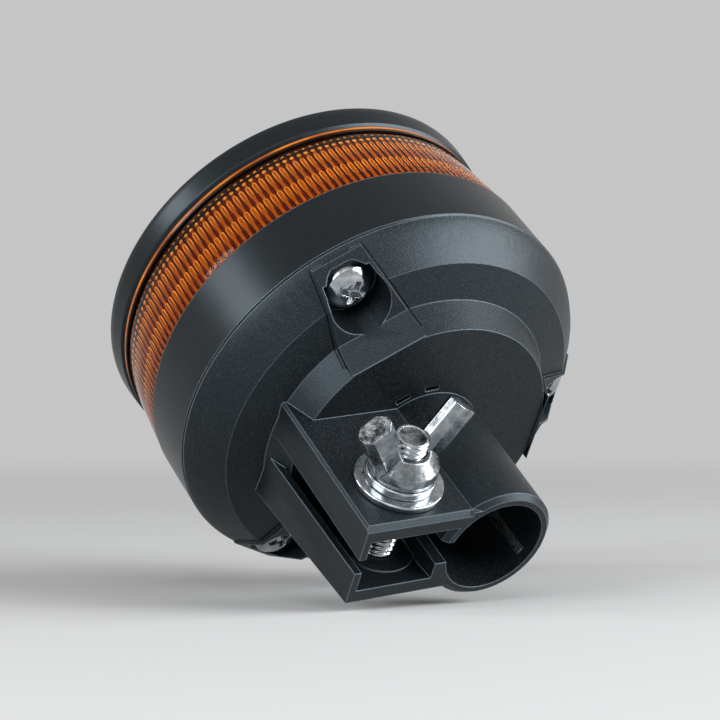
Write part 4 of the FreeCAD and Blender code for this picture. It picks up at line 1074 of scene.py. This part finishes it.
@dataclass
class ClampBolt:
    """Hexagon-head bolt with a rolled thread, lying across the clamp leaves.

    Attributes:
        origin: Middle of the head's seat in the frame.
        plain: Length of the shank without thread, from the head.
        dish: Radius of the shallow dish in the cut end.
        flats: Width of the head across its flats.
        head: Height of the head.
        head_chamfer: How far the cone lies inside the flats at the head's top.
        head_slope: How much wider the cone gets for each millimetre down.
        row_step: Height of a mesh row of the shank.
    """

    origin: Triple = (-22.0, 9.4, 12.8)
    radius: float = 4.0
    pitch: float = 1.25
    thread_depth: float = 0.55
    length: float = 35.0
    plain: float = 2.0
    end_chamfer: float = 0.3
    dish: float = 3.25
    flats: float = 13.0
    head: float = 5.3
    head_chamfer: float = 0.35
    head_slope: float = 1.7
    row_step: float = 0.14
    columns: int = 48

    def shank(self) -> Shape:
        """Threaded shank.

        The radius is radius - depth * w, where w is the triangle wave
        |2 frac(z / pitch - a / 2 pi) - 1| of the height and the turn.

        Returns:
            Points and faces, along the bolt's own Z.
        """
        rows = np.arange(0, self.length + MM, self.row_step)
        angle = np.arange(self.columns) / self.columns
        phase = rows[:, None] / self.pitch - angle[None, :]
        wave = np.abs(2 * (phase - np.floor(phase)) - 1)
        fade = np.clip((rows - self.plain) / self.pitch, 0, 1)[:, None]
        radius = self.radius - self.thread_depth * np.clip(wave * 1.3 - 0.15, 0, 1) * fade
        limit = self.radius - self.end_chamfer + (self.length - rows)[:, None]
        radius = np.minimum(radius, limit)
        # The end disc closes on a shallow dish, as a cut bar's end does.
        dish_radius, dish_height = wound(np.array([
            (self.dish, self.length),
            (self.dish - 0.15, self.length - 0.12),
            (self.dish / 2, self.length - 0.17),
            (0, self.length - 0.2),
        ]), self.columns)
        start = np.zeros((1, self.columns))
        height = np.repeat(rows[:, None], self.columns, axis=1)
        return turned(np.concatenate([start, radius, dish_radius]),
                      np.concatenate([start, height, dish_height]), False)

    def hexagon(self) -> Shape:
        """Head: the hexagon's radius a / cos(angle from its nearest flat), cut by a cone.

        Returns:
            Points and faces, along the bolt's own Z.
        """
        columns = 2 * self.columns
        angle = np.linspace(0, 2 * math.pi, columns, endpoint=False)
        from_flat = (angle + math.pi / 6) % (math.pi / 3) - math.pi / 6
        hexagon = self.flats / 2 / np.cos(from_flat)
        rows = np.array([0, 0, 0.3, 1.5, 3.0, 4.2, 4.7, 5.0, 5.2, self.head, self.head])
        cone = self.flats / 2 - self.head_chamfer + (self.head - rows) * self.head_slope
        radius = np.minimum(hexagon[None, :], cone[:, None])
        radius[0] = 0
        radius[-1] = 0
        height = np.repeat(-rows[:, None], columns, axis=1)
        points, quads = turned(radius, height, False)
        return points, quads[:, ::-1]

    def build(self, finishes: Finishes) -> None:
        """Builds shank and head as one piece, with a duller cut end.

        Args:
            finishes: The finishes, built on demand.
        """
        shank, shank_faces = self.shank()
        head, head_faces = self.hexagon()
        points = laid_along_bolt(np.concatenate([shank, head]), self.origin)
        faces = np.concatenate([shank_faces, head_faces + len(shank)])
        piece = make_piece("clamp_bolt_threaded", points, faces, finishes.of(BRIGHT_ZINC), 32)
        piece.data.materials.append(finishes.of(TORN_ZINC))
        # The last three rows of the shank's faces are the dish of its end.
        cut = np.zeros(len(faces), dtype=np.int32)
        cut[len(shank_faces) - 3 * self.columns:len(shank_faces)] = 1
        piece.data.polygons.foreach_set("material_index", cut)
        settle(piece, "clamp_bolt", Body.HOUSING)


@dataclass
class BaseScrews:
    """Three pan-head screws with a cross recess, heads towards the mouth.

    Attributes:
        circle: Radius on which they stand.
        seat: Height of the heads' seats.
        twists: Turn of each screw in radians.
    """

    circle: float = 43.2
    seat: float = 52.0
    head: float = 11.8
    crown: float = 3.6
    shank: float = 4.0
    length: float = 12.0
    recess_reach: float = 3.1
    recess_width: float = 1.5
    recess_depth: float = 1.9
    twists: Triple = (0.55, 1.1, 0.2)
    columns: int = 96
    rows: int = 44

    def crown_height(self, radius: np.ndarray, angle: np.ndarray) -> np.ndarray:
        """Height of the head over its seat, at a radius and a turn.

        The dome is crown * (1 - 0.62 q^3.2), with q the radius over the head's.
        The recess sinks it by depth * smooth(arm) where the point lies in an
        arm of the cross, and its arms taper towards their ends.

        Args:
            radius: Distance from the screw's axis.
            angle: Turn about it.

        Returns:
            The height, by row and column.
        """
        q = radius / (self.head / 2)
        dome = self.crown * (1 - 0.62 * q ** 3.2)
        x = np.abs(radius * np.cos(angle))
        y = np.abs(radius * np.sin(angle))
        across, along = np.minimum(x, y), np.maximum(x, y)
        side = np.clip((self.recess_width / 2 * (1.25 - 0.35 * along / self.recess_reach)
                        - across) / 0.22, 0, 1)
        end = np.clip((self.recess_reach - along) / 0.9, 0, 1)
        return dome - self.recess_depth * side * end * (1.15 - 0.45 * along / self.recess_reach)

    def one(self) -> Shape:
        """Points and quads of one screw, seat at height 0, head downwards.

        Returns:
            Points and faces.
        """
        ring = self.head / 2 * np.sin(np.linspace(0, math.pi / 2, self.rows))
        angle = np.linspace(0, 2 * math.pi, self.columns, endpoint=False)
        radius = np.repeat(ring[:, None], self.columns, axis=1)
        height = -self.crown_height(radius, angle[None, :])
        under = np.array([
            (self.head / 2, 0), (self.shank / 2, 0), (self.shank / 2, self.length - 2),
            (self.shank / 4, self.length), (0, self.length),
        ])
        under_radius, under_height = wound(under, self.columns)
        return turned(np.concatenate([radius, under_radius]),
                      np.concatenate([height, under_height]), False)

    def build(self, finish: Material) -> None:
        """Builds the three screws as one piece, each turned its own way.

        Args:
            finish: Material of the screws.
        """
        points, faces = self.one()
        places, quads = [], []
        for number, twist in enumerate(self.twists):
            turn = 2 * math.pi * number / len(self.twists)
            cosine, sine = math.cos(twist), math.sin(twist)
            x = points[:, 0] * cosine - points[:, 1] * sine
            y = points[:, 0] * sine + points[:, 1] * cosine
            shift = (self.circle * math.cos(turn), self.circle * math.sin(turn), self.seat)
            places.append(np.stack([x, y, points[:, 2]], axis=-1) + np.array(shift))
            quads.append(faces + number * len(points))
        piece = make_piece("cross_head_screws", np.concatenate(places),
                           np.concatenate(quads), finish, 50)
        settle(piece, "base_screws", Body.HOUSING)


@dataclass
class Housing:
    """Base and body ring, welded from their solids."""

    def build(self, finishes: Finishes) -> None:
        """Builds the grained base and the satin ring.

        Args:
            finishes: The finishes, built on demand.
        """
        for node, name, kind in (("mount_base", "base_moulding", GRAINED_ABS),
                                 ("body_ring", "ring_moulding", SATIN_ABS)):
            piece = welded_copy(node, name, finishes.of(kind))
            settle(piece, node, Body.HOUSING)


@dataclass
class Cap:
    """Round cap whose collar plugs into the lens.

    Attributes:
        crown: Height of its middle.
        shoulder: Height of its side's top before rounding.
        shoulder_round: Rounding of that corner.
        side: Height at which it is widest.
        edge: Top of the bevel over the lens flange.
        seat: Height at which it sits on the flange.
        collar_foot: Lower end of the collar.
    """

    radius: float = 51.05
    edge_radius: float = 50.7
    seat_radius: float = 49.6
    collar: float = 45.4
    collar_wall: float = 2.2
    seal_inset: float = 1.2
    seal_width: float = 1.6
    seal_depth: float = 1.0
    wall: float = 2.4
    crown: float = 102.4
    shoulder: float = 101.8
    shoulder_round: float = 2.2
    side: float = 99.4
    edge: float = 95.3
    seat: float = 94.4
    collar_foot: float = 86.8
    mould_round: float = 0.25
    columns: int = 240

    def outline(self) -> np.ndarray:
        """Outline from the crown over the side and the collar to the inner middle.

        Returns:
            Points (radius, height) of the open outline.
        """
        groove = self.collar + self.seal_inset
        corners = np.array([
            (0, self.crown),
            (self.radius, self.shoulder),
            (self.radius, self.side),
            (self.edge_radius, self.edge),
            (self.seat_radius, self.seat),
            (groove + self.seal_width, self.seat),
            (groove + self.seal_width, self.seat + self.seal_depth),
            (groove, self.seat + self.seal_depth),
            (groove, self.seat),
            (self.collar, self.seat),
            (self.collar, self.collar_foot),
            (self.collar - self.collar_wall, self.collar_foot),
            (self.collar - self.collar_wall, self.shoulder - self.wall),
            (0, self.crown - self.wall),
        ])
        rounding = np.full(len(corners), self.mould_round)
        rounding[1] = self.shoulder_round
        return soft_outline(corners, rounding, 6, closed=False)

    def build(self, finish: Material) -> None:
        """Turns the outline into the cap.

        Args:
            finish: Material of the cap.
        """
        piece = make_piece("cap_moulding", *turned(*wound(self.outline(), self.columns), False),
                           finish, 40)
        settle(piece, "top_cap", Body.HOUSING)


@dataclass
class ClampStack:
    """Washers and wing nut on the clamp bolt.

    Attributes:
        axis_place: Where the nut's axis meets its seat plane.
        wing_rise: Degrees that a wing rises from the seat plane.
        wing_turn: Degrees by which the first wing is turned about the axis.
        wing_reach: Length of a wing's middle from the axis.
        wing_root: Depth under the seat at which that middle meets the axis.
        torn_depth: How far the torn finish reaches back from a wing's end.
        torn_facing: Least cosine between a torn face and the wing's direction.
        pressed_edge: Width of the washers' rounded edges.
        forged_grain: Side of the nut's mesh squares.
        forged_passes: How often the nut's points are relaxed.
    """

    axis_place: Triple = (-22.0, -15.5, 12.8)
    wing_rise: float = 56.6
    wing_turn: float = 10.0
    wing_reach: float = 22.8
    wing_root: float = 3.5
    torn_depth: float = 0.6
    torn_facing: float = 0.85
    pressed_edge: float = 0.4
    forged_grain: float = 0.17
    forged_passes: int = 7

    def wing_ends(self) -> list[Shape]:
        """Middle of each wing's end and the direction that it faces.

        In the nut's own frame a wing points along (cos rise, 0, sin rise),
        turned about Z by the wing's turn.

        Returns:
            Middle and direction of each end, in the frame.
        """
        rise = math.radians(self.wing_rise)
        ends = []
        for number in range(2):
            turn = math.radians(self.wing_turn + 180 * number)
            way = np.array([(math.cos(rise) * math.cos(turn),
                             math.cos(rise) * math.sin(turn), math.sin(rise))])
            place = way * self.wing_reach - np.array([(0, 0, self.wing_root)])
            ends.append((laid_along_bolt(place, self.axis_place)[0],
                         laid_along_bolt(way, (0, 0, 0))[0]))
        return ends

    def tear_ends(self, piece: Object, finish: Material) -> None:
        """Gives the wings' end faces their torn finish.

        Args:
            piece: The nut.
            finish: Finish of the ends.
        """
        piece.data.materials.append(finish)
        faces = piece.data.polygons
        centres = numbers_of(faces, "center") / MM
        facing = numbers_of(faces, "normal")
        torn = np.zeros(len(faces), dtype=bool)
        for place, way in self.wing_ends():
            near = (centres - place) @ way > -self.torn_depth
            torn |= near & (facing @ way > self.torn_facing)
        faces.foreach_set("material_index", torn.astype(np.int32))
        LOG.info("%s: %d torn faces", piece.name, int(torn.sum()))

    def build(self, finishes: Finishes) -> None:
        """Builds the washers and the forged nut from their solids.

        Args:
            finishes: The finishes, built on demand.
        """
        zinc = finishes.of(BRIGHT_ZINC)
        for node in ("flat_washer", "spring_washer"):
            piece = welded_copy(node, f"{node}_finished", zinc)
            round_edges(piece, self.pressed_edge)
            settle(piece, node, Body.WASHERS)
        nut = welded_copy("wing_nut", "wing_nut_forged", finishes.of(FORGED_ZINC), 0.0)
        forge(nut, self.forged_grain, self.forged_passes)
        self.tear_ends(nut, finishes.of(TORN_ZINC))
        settle(nut, "wing_nut", Body.NUT)


@dataclass
class PlungerSpring:
    """Coil spring behind the contact plunger, which the plunger shortens when pressed; here it
    keeps its node's length.

    Attributes:
        travel: How far the plunger goes in. Not used.
    """

    travel: float = 3.0

    def build(self, finish: Material) -> None:
        """Builds the coil from its node's solid, at the node's own length.

        Args:
            finish: Material of the wire.
        """
        coil = welded_copy("plunger_spring", "plunger_spring_coil", finish)
        settle(coil, "plunger_spring", Body.HOUSING)
        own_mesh(coil)


@dataclass(frozen=True)
class PaleFloor(Finish):
    """Pale matt floor that fades away from the beacon and lets a view from beneath through.

    Attributes:
        shade: Its colour.
        roughness: Its roughness.
        fade_start: Distance from the frame's origin at which it starts to fade.
        fade_end: Distance at which it is gone.
    """

    shade: str = "#D3D4D5"
    roughness: float = 0.85
    fade_start: float = 150.0
    fade_end: float = 900.0

    def shader(self, tree: NodeTree) -> Node:
        """Adds the floor, mixed with clear air by the larger of fade and back side.

        Args:
            tree: Node tree of the material.

        Returns:
            The shader.
        """
        place = add_node(tree, "TexCoord").outputs["Object"]
        distance = add_node(tree, "VectorMath", place, operation="LENGTH")
        faded = add_node(tree, "MapRange", distance, self.fade_start * MM, self.fade_end * MM,
                         interpolation_type="SMOOTHSTEP")
        back = add_node(tree, "NewGeometry").outputs["Backfacing"]
        gone = add_node(tree, "Math", back, faded, operation="MAXIMUM")
        matt = add_node(tree, "BsdfPrincipled", linear(self.shade),
                        named={"Roughness": self.roughness})
        return add_node(tree, "MixShader", gone, matt, add_node(tree, "BsdfTransparent"))


@dataclass
class Studio:
    """Pale floor, plain soft lamps and the camera at the photographed angle.

    Attributes:
        eye: Place of the camera in millimetres.
        right: Direction of the picture's right side.
        up: Direction of the picture's top.
        lens: Focal length in millimetres.
        sensor: Width of the sensor.
        floor_gap: Distance from the lowest point to the floor.
        floor_size: Side of the floor.
        lamp_distance: Distance of the lamps from the beacon's middle.
        middle: Height of the beacon's middle in the frame.
        fill_light: Strength of the surroundings as a light.
        background: Strength of the surroundings where they are seen.
    """

    eye: Triple = (-295.1, -343.2, -314.8)
    right: Triple = (0.86042, -0.23943, -0.44983)
    up: Triple = (0.10583, -0.77954, 0.61735)
    lens: float = 122.09
    sensor: float = 36.0
    floor_gap: float = 2.0
    floor_size: float = 3000.0
    lamp_distance: float = 1100.0
    middle: float = 53.0
    fill_light: float = 0.13
    background: float = 0.56

    def directions(self) -> tuple[Vector, Vector, Vector]:
        """Gives the picture's right, its top and the way back to the camera."""
        right, up = Vector(self.right).normalized(), Vector(self.up).normalized()
        return right, up, right.cross(up)

    def camera(self) -> None:
        """Makes the camera from its place and its two picture directions."""
        data = bpy.data.cameras.new("camera")
        data.lens = self.lens
        data.sensor_width = self.sensor
        data.clip_start = 0.01
        eye = bpy.data.objects.new("camera", data)
        turn = Matrix(self.directions()).transposed().to_4x4()
        eye.matrix_world = Matrix.Translation(Vector(self.eye) * MM) @ turn
        bpy.context.scene.collection.objects.link(eye)
        bpy.context.scene.camera = eye

    def floor(self) -> None:
        """Lays the floor square to the picture's upright, under the lowest point."""
        right, up, _ = self.directions()
        away = up.cross(right).normalized()
        points = np.concatenate([numbers_of(node.data.vertices, "co")
                                 for node in frame["nodes"].values()])
        lowest = float((points @ np.array(up)).min())
        centre = up * (lowest - self.floor_gap * MM)
        half = self.floor_size * MM / 2
        corners = [centre + right * a * half + away * b * half
                   for a, b in ((-1, -1), (1, -1), (1, 1), (-1, 1))]
        mesh = bpy.data.meshes.new("floor")
        mesh.from_pydata([tuple(corner) for corner in corners], [], [(0, 1, 2, 3)])
        if mesh.polygons[0].normal.dot(up) < 0:
            mesh.flip_normals()
        mesh.materials.append(PaleFloor("pale_floor").material())
        plane = bpy.data.objects.new("floor", mesh)
        bpy.context.scene.collection.objects.link(plane)

    def world(self) -> None:
        """Even pale surroundings, paler where the camera, gloss or glass sees them."""
        world = bpy.data.worlds.new("studio")
        world.use_nodes = True
        tree = world.node_tree
        tree.nodes.clear()
        path = add_node(tree, "LightPath").outputs
        seen = add_node(tree, "Math", path["Is Camera Ray"], path["Is Transmission Ray"],
                        operation="ADD")
        seen = add_node(tree, "Math", seen, path["Is Glossy Ray"], operation="ADD")
        strength = add_node(tree, "MapRange", seen, 0, 1, self.fill_light, self.background)
        light = add_node(tree, "Background", (1, 1, 1, 1), strength)
        add_node(tree, "OutputWorld", light)
        bpy.context.scene.world = world

    def lamp(self, name: str, place: Vector, size: float, watts: float) -> None:
        """Adds a square soft lamp that faces the beacon.

        Args:
            name: Name of the lamp.
            place: Where it stands, in millimetres from the beacon's middle.
            size: Its side in millimetres.
            watts: Its power.
        """
        data = bpy.data.lights.new(name, "AREA")
        data.size = size * MM
        data.energy = watts
        made = bpy.data.objects.new(name, data)
        made.location = (Vector((0, 0, self.middle)) + place) * MM
        made.rotation_mode = "QUATERNION"
        made.rotation_quaternion = place.to_track_quat("Z", "Y")
        bpy.context.scene.collection.objects.link(made)

    def lamps(self) -> None:
        """Three large soft lamps, and two smaller ones that model the ring and the cone."""
        right, up, back = self.directions()
        for name, across, high, near, size, watts in (
                ("over", 0.1, 0.62, 0.78, 600, 2.2), ("left", -0.62, 0.32, 0.72, 600, 7.6),
                ("right", 0.92, 0.3, 0.1, 700, 13.0), ("streak", -0.85, 0.5, 0.15, 300, 2.4),
                ("cone", 0.8, 0.38, 0.48, 400, 5.0)):
            way = right * across + up * high + back * near
            self.lamp(name, way * self.lamp_distance, size, watts)

    def build(self) -> None:
        """Sets up camera, floor, world and lamps."""
        self.camera()
        self.floor()
        self.world()
        self.lamps()
        bpy.context.scene.view_settings.view_transform = "Standard"


def main() -> None:
    """Builds every dressed piece, then the studio."""
    logging.basicConfig(level=logging.INFO, format="%(name)s: %(message)s")
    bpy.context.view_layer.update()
    finishes = Finishes()
    finishes.dress_nodes()
    Housing().build(finishes)
    Cap().build(finishes.of(SATIN_ABS))
    Lens().build(finishes)
    OpticRing().build(finishes.of(CLEAR_OPTIC))
    ClampBolt().build(finishes)
    BaseScrews().build(finishes.of(BRIGHT_ZINC))
    ClampStack().build(finishes)
    PlungerSpring().build(finishes.of(SPRING_STEEL))
    Studio().build()


if __name__ == "__main__":
    main()
